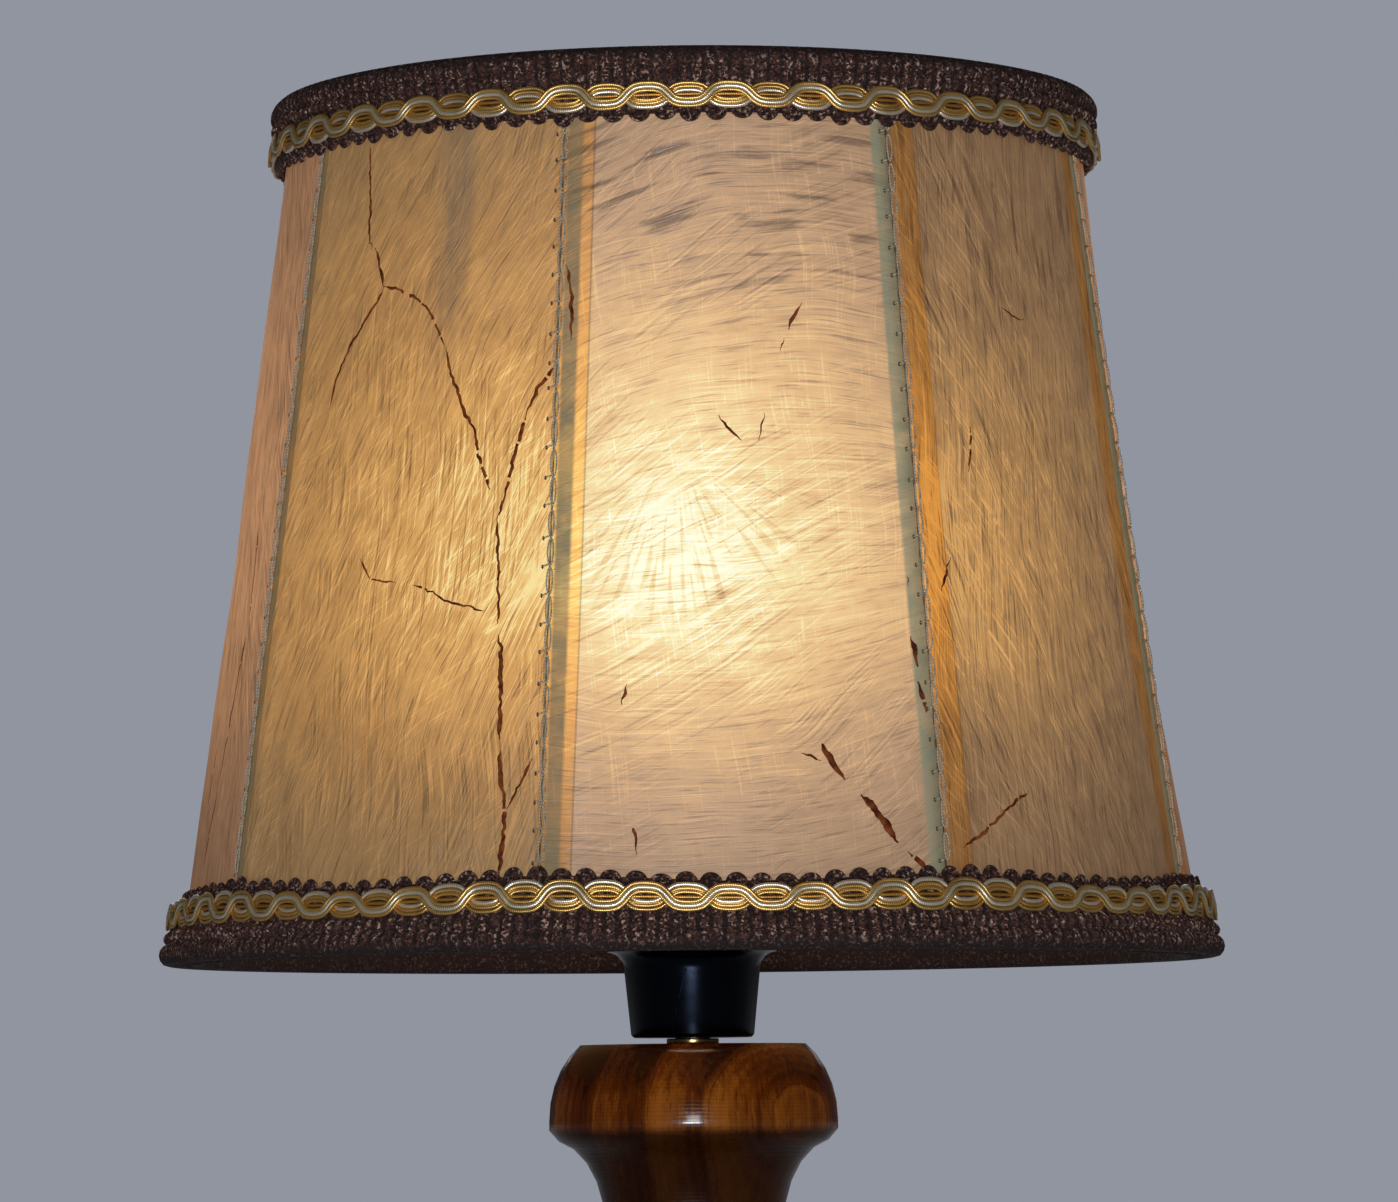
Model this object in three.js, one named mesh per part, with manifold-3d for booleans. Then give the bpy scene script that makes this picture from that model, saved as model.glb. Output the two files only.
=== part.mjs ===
// Turned wood table lamp with a laced hide shade, in millimetres, +Z up.
// The origin is the middle of the felt's underside, and the shade's front panel faces -Y.

import * as THREE from 'three';
import { mergeVertices } from 'three/addons/utils/BufferGeometryUtils.js';
import Module from 'manifold-3d';

const wasm = await Module();
wasm.setup();

// Fits and facets
const seat_gap = 0.3; // between faces that rest together, or a shank and its hole
const cut_overrun = 2; // how far a cutter runs past the face that it cuts
const weld_distance = 1e-4; // vertices nearer than this are one
const wood_facets = 32;
const holder_facets = 24;
const small_facets = 12;
const wire_facets = 6;

// Felt and foot
const felt_radius = 75;
const felt_thickness = 2;
const foot_radius = 78;
const foot_thickness = 26;
const foot_edge_height = 9;
const foot_edge_round = 5;
const foot_fillet = 2;
const foot_top_radius = 50;
const nut_recess_radius = 16;
const nut_recess_depth = 10;
const mortise_radius = 15;
const mortise_depth = 12;

// Hollow rod, with its nut and washer under the foot
const rod_radius = 5;
const rod_bore_radius = 4;
const rod_foot_clearance = 1.5; // from the felt to the rod's lower end
const rod_entry = 13; // how far the rod stands into the lampholder
const washer_radius = 12;
const washer_thickness = 1.5;
const nut_across_flats = 14;
const nut_thickness = 4;

// Cord inlet at the back of the foot
const bush_stem_radius = 4;
const bush_bore_radius = 2.9;
const bush_stem_length = 12;
const bush_flange_radius = 5.4;
const bush_flange_thickness = 2.2;

// Turned column, from its shoulder on the foot to the top of the bun
const column_height = 254.4;
const tenon_length = 11.7;
const column_foot_radius = 43;
const column_foot_bead = 4;
const column_foot_bead_height = 13;
const lower_fillet = 2;
const lower_neck_radius = 33;
const lower_neck_height = 33;
const belly_radius = 54;
const belly_height = 80;
const upper_neck_radius = 28;
const upper_neck_height = 172;
const collar_bead = 4.5;
const collar_bead_height = 9;
const cove_neck_radius = 25.5;
const cove_width = 15.9;
const cove_height = 25.5;
const bun_radius = 41.4;
const bun_band_height = 2.7; // upright band at the bun's widest
const bun_underside = 27; // from the bun's top to the sharp edge over the cove
const bun_dome_width = 20;
const bun_dome_height = 25.7;
const bun_dome_drop = 21.5; // from the top face to the widest

// Brass ring under the lampholder
const brass_ring_radius = 7.5;
const brass_ring_thickness = 1.4;

// Lampholder cap
const cap_foot_radius = 17.7;
const cap_foot_round = 0.8;
const cap_waist_radius = 19.6;
const cap_waist_height = 19.7;
const cap_height = 26;
const cap_rim_height = 1.5;
const cap_wall = 2;
const cap_floor = 3;
const cap_boss_radius = 9;
const cap_boss_height = 14;
const grub_radius = 1.5;
const grub_height = 8;
const grub_recess = 1.2; // from the cap's face to the screw's end

// Switch housing and its mechanism
const body_radius = 24.5;
const body_wall = 2;
const body_height = 24.4;
const deck_thickness = 2;
const deck_hole_radius = 14.3;
const bar_width = 7;
const bar_thickness = 6;
const bar_height = 38.5; // of its middle, from the lampholder's foot
const bar_reach = 3; // how far the pushed-in end stands out of the housing
const bar_travel = 6;
const bar_end_radius = 4.6;
const bar_end_length = 2.2;
const bar_slot_length = 3.8;
const bar_slot_width = 3.8;
const bar_slot_depth = 5;
const pivot_height = 29.5;
const pivot_radius = 1;
const rocker_thickness = 3;
const rocker_hub_radius = 2.6;
const rocker_blade = 1.2;
const rocker_tail = 10.4;
const rocker_arm = 8;
const frame_length = 22;
const frame_half_width = 4.6;
const frame_wall = 2;
const frame_floor_height = 22;
const frame_top_height = 45;
const live_width = 5;
const live_thickness = 1;

// Insert, contacts and E27 socket
const insert_height = 45.6;
const insert_boss_radius = 13.9;
const insert_flange_radius = 15.6;
const insert_top = 57;
const terminal_offset = 10;
const terminal_head_radius = 2.4;
const terminal_head_thickness = 2;
const terminal_shank_radius = 1.4;
const terminal_shank_length = 5;
const tongue_width = 4;
const tongue_thickness = 0.8;
const tongue_length = 9;
const contact_plane = 61; // where the bulb's tip meets the tongue
const side_contact_offset = 11.2;
const side_contact_rise = 3;
const shell_radius = 14.3;
const shell_wall = 0.8;
const shell_height = 30;
const sleeve_radius = 20;
const sleeve_bore_radius = 16.2;
const sleeve_flange_radius = 24.5;
const sleeve_flange_thickness = 3;
const sleeve_height = 38.7;
const sleeve_lip_radius = 13.9;
const sleeve_lip_thickness = 2.4;

// Clamp ring and the shade's carrier ring
const shade_ring_radius = 26.5;
const shade_ring_height = 6;
const shade_ring_lip = 1.5;
const shade_ring_grips = 16;
const grip_radius = 1.6;
const carrier_radius = 27;
const carrier_bore_radius = 20.6;
const carrier_thickness = 2;

// Bulb, from its contact tip
const tip_radius = 4.2;
const tip_thickness = 1.8;
const insulator_foot_radius = 4.6;
const insulator_top_radius = 10.8;
const insulator_top = 6.5;
const bulb_cap_radius = 13.1;
const bulb_cap_taper = 2;
const bulb_cap_wall = 0.5;
const bulb_cap_top = 27;
const bulb_neck_radius = 12.2;
const bulb_neck_entry = 16; // how far the glass stands into its cap
const bulb_radius = 30;
const bulb_length = 107;
const bulb_wall = 0.9;
const bulb_flank_angle = 42; // below level, where the round part meets the neck
const stem_radius = 5;
const stem_top_radius = 2.5;
const stem_foot = 14;
const stem_top = 54;
const filament_radius = 0.6;
const filament_foot_offset = 1.6;
const filament_spread = 11;
const filament_height = 74;
const filament_crown = 78;

// Shade frame and panels, from the shade's lower rim
const shade_rim_height = 306.5; // above the table
const shade_height = 247;
const panel_count = 8;
const columns_per_panel = 6;
const panel_rows = 6;
const panel_thickness = 0.8;
const seam_gap = 0.8;
// How far each skin's middle pulls in from round to flat, from the front one anticlockwise: they dried unevenly
const panel_flat_shares = [0.4, 0.4, 0.5, 0.4, 0.4, 0.4, 0.05, 0.35];
const bottom_ring_radius = 143;
const top_ring_radius = 110;
const ring_wire_radius = 1.75;
const strut_wire_radius = 1.5;
const arm_count = 3;
const arm_wire_radius = 1.5;

// Braid round both rims
const braid_fold = 1.45; // thickness of the part that is turned in under the ring
const braid_width = 20.5;
const braid_thickness = 3.6;
const braid_edge_thickness = 1.6;
const rim_roll_thickness = 6.2;
const rim_roll_height = 9.5;
const bottom_wave = 2.4; // how far the braid's edge rises at each strut
const top_wave = 0.8;

// Places that follow from the sizes
const foot_base = felt_thickness + seat_gap;
const column_base = foot_base + foot_thickness + seat_gap;
const wood_top = column_base + column_height;
const brass_ring_base = wood_top + seat_gap;
const holder_base = brass_ring_base + brass_ring_thickness + seat_gap;
const bore_radius = rod_radius + seat_gap;
const recess_roof = foot_base + nut_recess_depth;
const body_base = cap_height + seat_gap;
const body_top = body_base + body_height;
const sleeve_base = body_top + seat_gap;
const sleeve_top = sleeve_base + sleeve_height;
const carrier_base = sleeve_base + sleeve_flange_thickness + seat_gap;
const shade_ring_base = carrier_base + carrier_thickness + seat_gap;
const panel_angle = (2 * Math.PI) / panel_count;
const ring_columns = panel_count * columns_per_panel;
const bottom_ring_height = ring_wire_radius + seat_gap + braid_fold;
const top_ring_height = shade_height - bottom_ring_height;
const throw_angle = Math.asin(bar_travel / 2 / (bar_height - pivot_height));

// Finishes, by the colours in the photograph
const finishes = {
  varnished_wood: { color: 0x7a3f12, roughness: 0.25, metalness: 0 },
  felt: { color: 0x2c3a2c, roughness: 0.95, metalness: 0 },
  black_plastic: { color: 0x0c0d10, roughness: 0.35, metalness: 0 },
  insulator: { color: 0xd8d4c8, roughness: 0.4, metalness: 0 },
  brass: { color: 0xc49a45, roughness: 0.3, metalness: 1 },
  steel: { color: 0x9a9c9e, roughness: 0.35, metalness: 1 },
  painted_wire: { color: 0xe6e2d4, roughness: 0.5, metalness: 0 },
  pearl_glass: { color: 0xfff1cf, roughness: 0.4, metalness: 0 },
  hide: { color: 0xd2a468, roughness: 0.55, metalness: 0 },
  braid: { color: 0x47291f, roughness: 0.9, metalness: 0 },
};

/** One closed body: shared vertices, no collapsed faces, and faces that point out. */
function closed(geometry) {
  const bare = geometry.clone();
  for (const name of Object.keys(bare.attributes)) {
    if (name !== 'position') bare.deleteAttribute(name);
  }
  const merged = mergeVertices(bare, weld_distance);
  const index = merged.index.array;
  const corner = [0, 1, 2].map(() => new THREE.Vector3());
  const faces = [];
  let volume = 0;
  for (let i = 0; i < index.length; i += 3) {
    const face = [index[i], index[i + 1], index[i + 2]];
    if (new Set(face).size < face.length) continue;
    face.forEach((vertex, k) => corner[k].fromBufferAttribute(merged.attributes.position, vertex));
    volume += corner[0].dot(corner[1].clone().cross(corner[2]));
    faces.push(face);
  }
  merged.setIndex(faces.flatMap((face) => (volume < 0 ? [face[0], face[2], face[1]] : face)));
  return merged;
}

/** The solid that a closed geometry bounds. */
function solid(geometry) {
  const body = closed(geometry);
  return new wasm.Manifold(
    new wasm.Mesh({
      numProp: 3,
      vertProperties: new Float32Array(body.attributes.position.array),
      triVerts: new Uint32Array(body.index.array),
    }),
  );
}

/** The geometry of a solid's surface. */
function surface(body) {
  const mesh = body.getMesh();
  const geometry = new THREE.BufferGeometry();
  geometry.setAttribute('position', new THREE.BufferAttribute(new Float32Array(mesh.vertProperties), 3));
  geometry.setIndex(Array.from(mesh.triVerts));
  return geometry;
}

/** A geometry with others cut out of it. */
function cut(geometry, ...cutters) {
  return surface(cutters.reduce((body, cutter) => body.subtract(solid(cutter)), solid(geometry)));
}

/** Several overlapping geometries joined into one. */
function join(first, ...others) {
  return surface(others.reduce((body, other) => body.add(solid(other)), solid(first)));
}

/** Points on an ellipse's arc in an outline's plane, between two angles in degrees. */
function arc(centre_r, centre_z, half_width, half_height, from, to, steps) {
  const points = [];
  for (let step = 0; step <= steps; step++) {
    const angle = THREE.MathUtils.degToRad(from + ((to - from) * step) / steps);
    points.push([centre_r + half_width * Math.cos(angle), centre_z + half_height * Math.sin(angle)]);
  }
  return points;
}

/** Points of an S-shaped flank that stands upright at both ends. */
function flank(low, high, steps) {
  const points = [];
  for (let step = 0; step <= steps; step++) {
    const t = step / steps;
    const turned = (1 - Math.cos(Math.PI * t)) / 2;
    points.push([low[0] + (high[0] - low[0]) * turned, low[1] + (high[1] - low[1]) * t]);
  }
  return points;
}

/** Revolves an outline of [radius, height] points about Z. One that starts off the axis closes on itself. */
function turn(outline, facets) {
  const points = outline.map(([radius, height]) => new THREE.Vector2(radius, height));
  if (outline[0][0] > 0) points.push(points[0].clone());
  return new THREE.LatheGeometry(points, facets).rotateX(Math.PI / 2);
}

/** A ring or tube of rectangular section. */
function tube(inner, outer, low, high, facets) {
  return turn([[inner, low], [outer, low], [outer, high], [inner, high]], facets);
}

/** A round rod that stands on a height. */
function rod(radius, low, high, facets = small_facets) {
  return turn([[0, low], [radius, low], [radius, high], [0, high]], facets);
}

/** A box by its middle and sides. */
function block(length, width, height, x, y, z) {
  return new THREE.BoxGeometry(length, width, height).translate(x, y, z);
}

/** A round wire between two points. */
function wire(from, to, radius) {
  const way = to.clone().sub(from);
  const facing = new THREE.Quaternion().setFromUnitVectors(new THREE.Vector3(0, 1, 0), way.clone().normalize());
  const geometry = new THREE.CylinderGeometry(radius, radius, way.length(), wire_facets);
  geometry.applyQuaternion(facing);
  return geometry.translate(...from.clone().add(to).multiplyScalar(1 / 2).toArray());
}

/** One named sub-part in its finish. */
function piece(name, geometry, finish) {
  const body = closed(geometry);
  body.computeVertexNormals();
  const mesh = new THREE.Mesh(body, new THREE.MeshStandardMaterial(finishes[finish]));
  mesh.name = name;
  return mesh;
}

/** A group that stands at a height, with its pieces in it. */
function assembly(height, ...pieces) {
  const group = new THREE.Group();
  group.position.z = height;
  group.add(...pieces);
  return group;
}

// Foot and column

/** The foot: rounded edge, cove to the top face, mortise above and nut recess below, and a drilled cord channel. */
function foot_disc() {
  const cove_foot = foot_edge_height + foot_edge_round + foot_fillet;
  const cove_top = foot_thickness - foot_fillet;
  const cove_outer = foot_radius - foot_edge_round - foot_fillet;
  const outline = [
    [nut_recess_radius, 0],
    [foot_radius - foot_fillet / 2, 0],
    [foot_radius, foot_fillet / 2],
    ...arc(foot_radius - foot_edge_round, foot_edge_height, foot_edge_round, foot_edge_round, 0, 90, 2),
    [cove_outer, foot_edge_height + foot_edge_round],
    ...arc(cove_outer, cove_top, cove_outer - foot_top_radius, cove_top - cove_foot, -90, -180, 3),
    [foot_top_radius, foot_thickness],
    [mortise_radius, foot_thickness],
    [mortise_radius, foot_thickness - mortise_depth],
    [bore_radius, foot_thickness - mortise_depth],
    [bore_radius, nut_recess_depth],
    [nut_recess_radius, nut_recess_depth],
  ];
  const channel_length = foot_radius - nut_recess_radius / 2 + cut_overrun;
  const channel = new THREE.CylinderGeometry(
    bush_stem_radius + seat_gap,
    bush_stem_radius + seat_gap,
    channel_length,
    small_facets,
  ).translate(0, nut_recess_radius / 2 + channel_length / 2, bush_flange_radius);
  return cut(turn(outline, wood_facets), channel);
}

/** The inlet bush: a flange against the foot's edge and a stem in the channel. */
function inlet_bush() {
  const outline = [
    [bush_bore_radius, -bush_stem_length],
    [bush_stem_radius, -bush_stem_length],
    [bush_stem_radius, 0],
    [bush_flange_radius, 0],
    [bush_flange_radius, bush_flange_thickness / 2],
    [bush_stem_radius, bush_flange_thickness],
    [bush_bore_radius, bush_flange_thickness],
  ];
  return turn(outline, small_facets);
}

/** The column: tenon, foot bead, vase, collar bead, cove and bun, bored through. */
function turned_column() {
  const bead_base = upper_neck_height;
  const bead_top = bead_base + collar_bead_height;
  const cove_middle = column_height - bun_underside - cove_height;
  const cove_centre = cove_neck_radius + cove_width;
  const band_top = column_height - bun_dome_drop;
  const band_foot = band_top - bun_band_height;
  const dome_start = THREE.MathUtils.radToDeg(Math.asin(bun_dome_drop / bun_dome_height));
  const foot_bead_middle = column_foot_bead_height / 2;
  const fillet_radius = lower_neck_radius + lower_fillet * 2;
  const outline = [
    [bore_radius, -tenon_length],
    [mortise_radius - seat_gap, -tenon_length],
    [mortise_radius - seat_gap, 0],
    ...arc(column_foot_radius, foot_bead_middle, column_foot_bead, foot_bead_middle, -90, 90, 4),
    [fillet_radius + lower_fillet, column_foot_bead_height],
    [fillet_radius + lower_fillet, column_foot_bead_height + lower_fillet],
    ...arc(
      fillet_radius + lower_fillet,
      lower_neck_height,
      fillet_radius + lower_fillet - lower_neck_radius,
      lower_neck_height - column_foot_bead_height - lower_fillet,
      -90,
      -180,
      3,
    ).slice(1),
    ...flank([lower_neck_radius, lower_neck_height], [belly_radius, belly_height], 5).slice(1),
    ...flank([belly_radius, belly_height], [upper_neck_radius, upper_neck_height], 7).slice(1),
    ...arc(upper_neck_radius, (bead_base + bead_top) / 2, collar_bead, collar_bead_height / 2, -90, 90, 3).slice(1),
    [cove_neck_radius, cove_middle],
    ...arc(cove_centre, cove_middle, cove_width, cove_height, 180, 100, 5).slice(1),
    [bun_radius, band_foot],
    ...arc(bun_radius - bun_dome_width, band_top, bun_dome_width, bun_dome_height, 0, dome_start, 5),
    [bore_radius, column_height],
  ];
  return turn(outline, wood_facets);
}

/** A hexagonal nut on the rod, bored for it. */
function hex_nut() {
  const hexagon = turn(
    [[0, 0], [nut_across_flats / Math.sqrt(3), 0], [nut_across_flats / Math.sqrt(3), nut_thickness], [0, nut_thickness]],
    6,
  );
  return cut(hexagon, rod(bore_radius, -cut_overrun, nut_thickness + cut_overrun, small_facets));
}

const bush = piece('cable_bush', inlet_bush(), 'black_plastic');
bush.rotation.x = -Math.PI / 2;
bush.position.set(0, foot_radius + seat_gap, foot_base + bush_flange_radius);

const washer_base = recess_roof - seat_gap - washer_thickness;
const nut_base = washer_base - seat_gap - nut_thickness;
const rod_foot = felt_thickness + rod_foot_clearance;
const rod_top = holder_base + rod_entry;

const base = assembly(
  0,
  piece('felt_pad', rod(felt_radius, 0, felt_thickness, wood_facets), 'felt'),
  bush,
  piece('threaded_rod', tube(rod_bore_radius, rod_radius, rod_foot, rod_top, small_facets), 'steel'),
  piece(
    'bottom_washer',
    tube(bore_radius, washer_radius, washer_base, washer_base + washer_thickness, small_facets),
    'steel',
  ),
  assembly(nut_base, piece('bottom_nut', hex_nut(), 'steel')),
  assembly(foot_base, piece('base_disc', foot_disc(), 'varnished_wood')),
  assembly(column_base, piece('spindle', turned_column(), 'varnished_wood')),
  assembly(
    brass_ring_base,
    piece('brass_ring', tube(bore_radius, brass_ring_radius, 0, brass_ring_thickness, small_facets), 'brass'),
  ),
);

// Lampholder, from its foot

/** The cap: a tapered cup that flares to the housing's width, with a boss for the rod and a grub screw's hole. */
function cap_shell() {
  const flare_top = cap_height - cap_rim_height;
  const flare_width = body_radius - cap_waist_radius;
  const flare_height = flare_top - cap_waist_height;
  const flare = arc(body_radius, cap_waist_height, flare_width, flare_height, 180, 90, 4);
  const inside = flare.map(([radius, height]) => [radius - cap_wall, height + cap_wall / 4]).reverse();
  const outline = [
    [bore_radius, 0],
    [cap_foot_radius - cap_foot_round, 0],
    [cap_foot_radius, cap_foot_round],
    ...flare,
    [body_radius, cap_height],
    [body_radius - cap_wall, cap_height],
    ...inside,
    [cap_foot_radius - cap_wall, cap_floor],
    [cap_boss_radius, cap_floor],
    [cap_boss_radius, cap_boss_height],
    [bore_radius, cap_boss_height],
  ];
  const reach = cap_waist_radius + cut_overrun;
  const hole = new THREE.CylinderGeometry(grub_radius + seat_gap, grub_radius + seat_gap, reach, small_facets);
  return cut(turn(outline, holder_facets), hole.translate(0, reach / 2, grub_height));
}

/** The switch housing: a cup with its floor uppermost, holed for the insert and for the push bar at both sides. */
function switch_housing() {
  const outline = [
    [body_radius - body_wall, body_base],
    [body_radius, body_base],
    [body_radius, body_top],
    [deck_hole_radius, body_top],
    [deck_hole_radius, body_top - deck_thickness],
    [body_radius - body_wall, body_top - deck_thickness],
  ];
  const opening = block(
    2 * (body_radius + cut_overrun),
    bar_width + 2 * seat_gap,
    bar_thickness + 2 * seat_gap,
    0,
    0,
    bar_height,
  );
  return cut(turn(outline, holder_facets), opening);
}

/** The frame: a floor and two cheeks, bored for the rocker's pin. */
function mechanism_frame() {
  const rise = frame_top_height - frame_floor_height;
  const cheek = (side) =>
    block(
      frame_length,
      frame_wall,
      rise,
      0,
      side * (frame_half_width + frame_wall / 2),
      frame_floor_height + rise / 2,
    );
  const floor = block(
    frame_length,
    2 * (frame_half_width + frame_wall),
    frame_wall,
    0,
    0,
    frame_floor_height + frame_wall / 2,
  );
  const bore = new THREE.CylinderGeometry(
    pivot_radius + seat_gap,
    pivot_radius + seat_gap,
    2 * (frame_half_width + frame_wall + cut_overrun),
    small_facets,
  ).translate(0, 0, pivot_height);
  return cut(join(floor, cheek(-1), cheek(1)), bore);
}

/** The push bar, shown pushed in to the left, with a slot for the rocker's tail and a round button at each end. */
function bar_with_buttons() {
  const stem = 2 * (body_radius + bar_reach) + bar_travel;
  const bar = block(stem, bar_width, bar_thickness, 0, 0, 0);
  const button = (side) =>
    rod(bar_end_radius, 0, bar_end_length, small_facets)
      .rotateY(Math.PI / 2)
      .translate(side * (stem / 2) - bar_end_length / 2, 0, 0);
  const slot = block(
    bar_slot_length,
    bar_slot_width,
    bar_slot_depth + cut_overrun,
    0,
    0,
    (bar_slot_depth - cut_overrun - bar_thickness) / 2,
  );
  return cut(join(bar, button(-1), button(1)), slot);
}

/** The rocker: a hub on the pin, a tail up into the bar's slot, and an arm that meets the live contact. */
function rocker_blade_and_hub() {
  const hub = new THREE.CylinderGeometry(rocker_hub_radius, rocker_hub_radius, rocker_thickness, small_facets);
  const tail = block(rocker_blade, rocker_thickness, rocker_tail, 0, 0, rocker_tail / 2);
  const arm = block(rocker_arm, rocker_thickness, rocker_blade, -rocker_arm / 2, 0, 0);
  const bore = new THREE.CylinderGeometry(
    pivot_radius + seat_gap,
    pivot_radius + seat_gap,
    rocker_thickness + 2 * cut_overrun,
    small_facets,
  );
  return cut(join(hub, tail, arm), bore);
}

/** The insert: a stepped disc that seats on the housing's floor, with a blind hole for each terminal screw. */
function stepped_insert() {
  const step = body_top + seat_gap;
  const disc = turn(
    [
      [0, insert_height],
      [insert_boss_radius, insert_height],
      [insert_boss_radius, step],
      [insert_flange_radius, step],
      [insert_flange_radius, insert_top],
      [0, insert_top],
    ],
    holder_facets,
  );
  const hole_top = insert_height + terminal_shank_length + seat_gap;
  const hole = (side) =>
    rod(terminal_shank_radius + seat_gap, insert_height - cut_overrun, hole_top).translate(
      0,
      side * terminal_offset,
      0,
    );
  return cut(disc, hole(-1), hole(1));
}

/** A terminal screw, its head below the insert. */
function terminal_screw() {
  const head_top = insert_height - seat_gap;
  return turn(
    [
      [0, head_top - terminal_head_thickness],
      [terminal_head_radius, head_top - terminal_head_thickness],
      [terminal_head_radius, head_top],
      [terminal_shank_radius, head_top],
      [terminal_shank_radius, insert_height + terminal_shank_length],
      [0, insert_height + terminal_shank_length],
    ],
    small_facets,
  );
}

/** The centre tongue: a strip that lies on the insert and rises to the bulb's tip. */
function tongue() {
  const low = insert_top + seat_gap;
  const high = contact_plane - seat_gap;
  const strip = new THREE.Shape([
    new THREE.Vector2(-tongue_length, low),
    new THREE.Vector2(-tongue_length / 2, low),
    new THREE.Vector2(-tongue_width / 2, high - tongue_thickness),
    new THREE.Vector2(tongue_width / 2, high - tongue_thickness),
    new THREE.Vector2(tongue_width / 2, high),
    new THREE.Vector2(-tongue_width / 2 - tongue_thickness / 2, high),
    new THREE.Vector2(-tongue_length / 2 - tongue_thickness / 2, low + tongue_thickness),
    new THREE.Vector2(-tongue_length, low + tongue_thickness),
  ]);
  return new THREE.ExtrudeGeometry(strip, { depth: tongue_width, bevelEnabled: false })
    .translate(0, 0, -tongue_width / 2)
    .rotateX(Math.PI / 2);
}

/** The sleeve: the flange that the shade sits on, the threaded tube, and the lip that keeps the socket in. */
function outer_sleeve() {
  return turn(
    [
      [sleeve_bore_radius, sleeve_base],
      [sleeve_flange_radius, sleeve_base],
      [sleeve_flange_radius, sleeve_base + sleeve_flange_thickness],
      [sleeve_radius, sleeve_base + sleeve_flange_thickness],
      [sleeve_radius, sleeve_top],
      [sleeve_lip_radius, sleeve_top],
      [sleeve_lip_radius, sleeve_top - sleeve_lip_thickness],
      [sleeve_bore_radius, sleeve_top - sleeve_lip_thickness],
    ],
    holder_facets,
  );
}

/** The clamp ring, with a lip below and finger grips round its edge. */
function clamp_ring() {
  const ring = tube(
    sleeve_radius + seat_gap,
    shade_ring_radius,
    shade_ring_base,
    shade_ring_base + shade_ring_height,
    holder_facets,
  );
  const grips = [];
  for (let i = 0; i < shade_ring_grips; i++) {
    const grip = rod(
      grip_radius,
      shade_ring_base + shade_ring_lip,
      shade_ring_base + shade_ring_height + cut_overrun,
      wire_facets,
    );
    grips.push(grip.translate(shade_ring_radius, 0, 0).rotateZ((2 * Math.PI * i) / shade_ring_grips));
  }
  return cut(ring, ...grips);
}

const grub_reach = cap_foot_radius - grub_recess;
const grub = piece('grub_screw', rod(grub_radius, rod_radius + seat_gap, grub_reach), 'steel');
grub.rotation.x = -Math.PI / 2;
grub.position.z = grub_height;

const push_bar = piece('push_bar', bar_with_buttons(), 'black_plastic');
push_bar.position.set(-bar_travel / 2, 0, bar_height);

const rocker = piece('rocker_contact', rocker_blade_and_hub(), 'brass');
rocker.position.z = pivot_height;
rocker.rotation.y = -throw_angle;

const pin_length = 2 * (frame_half_width + frame_wall);
const rocker_pin = piece(
  'rocker_pin',
  new THREE.CylinderGeometry(pivot_radius, pivot_radius, pin_length, small_facets),
  'steel',
);
rocker_pin.position.z = pivot_height;

const live_base = frame_floor_height + frame_wall + seat_gap;
const live_contact = piece(
  'live_contact',
  block(
    frame_length / 2,
    live_width,
    live_thickness,
    -frame_length / 4,
    0,
    live_base + live_thickness / 2,
  ),
  'brass',
);

const terminal_screws = [-1, 1].map((side, index) => {
  const screw = piece(`terminal_screw_${index + 1}`, terminal_screw(), 'brass');
  screw.position.y = side * terminal_offset;
  return screw;
});

const side_contact_base = insert_top + seat_gap;
const side_contact = piece(
  'side_contact',
  block(
    tongue_thickness,
    tongue_width,
    side_contact_rise,
    side_contact_offset,
    0,
    side_contact_base + side_contact_rise / 2,
  ),
  'brass',
);
const shell_base = insert_top + seat_gap;

const lampholder = assembly(
  holder_base,
  piece('holder_cap', cap_shell(), 'black_plastic'),
  grub,
  piece('switch_body', switch_housing(), 'black_plastic'),
  piece('switch_frame', mechanism_frame(), 'insulator'),
  push_bar,
  rocker,
  rocker_pin,
  live_contact,
  piece('terminal_insert', stepped_insert(), 'insulator'),
  ...terminal_screws,
  piece('centre_contact', tongue(), 'brass'),
  side_contact,
  piece(
    'screw_shell',
    tube(shell_radius - shell_wall, shell_radius, shell_base, shell_base + shell_height, holder_facets),
    'brass',
  ),
  piece('holder_sleeve', outer_sleeve(), 'black_plastic'),
  piece('shade_ring', clamp_ring(), 'black_plastic'),
);

// Bulb, from its tip

/** The glass: an open neck that widens to a round bulb, of even wall. */
function bulb_shell() {
  const middle = bulb_length - bulb_radius;
  const flank_angle = THREE.MathUtils.degToRad(bulb_flank_angle);
  const outline = (inset) => {
    const radius = bulb_radius - inset;
    const neck = bulb_neck_radius - inset;
    const meets = [radius * Math.cos(flank_angle), middle - radius * Math.sin(flank_angle)];
    const shoulder = bulb_cap_top + bulb_neck_radius / 2;
    return [
      [neck, bulb_neck_entry],
      [neck, bulb_cap_top],
      [neck + (meets[0] - neck) / 4, shoulder],
      ...arc(0, middle, radius, radius, -bulb_flank_angle, 90, 7),
    ];
  };
  const outside = outline(0);
  const inside = outline(bulb_wall).reverse();
  outside[outside.length - 1][0] = 0;
  inside[0][0] = 0;
  const wall = turn([...outside, [0, bulb_neck_entry]], holder_facets);
  const room = turn([...inside, [0, bulb_neck_entry]], holder_facets);
  const mouth = rod(bulb_neck_radius - bulb_wall, bulb_neck_entry - cut_overrun, bulb_cap_top, holder_facets);
  return cut(wall, room, mouth);
}

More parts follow.
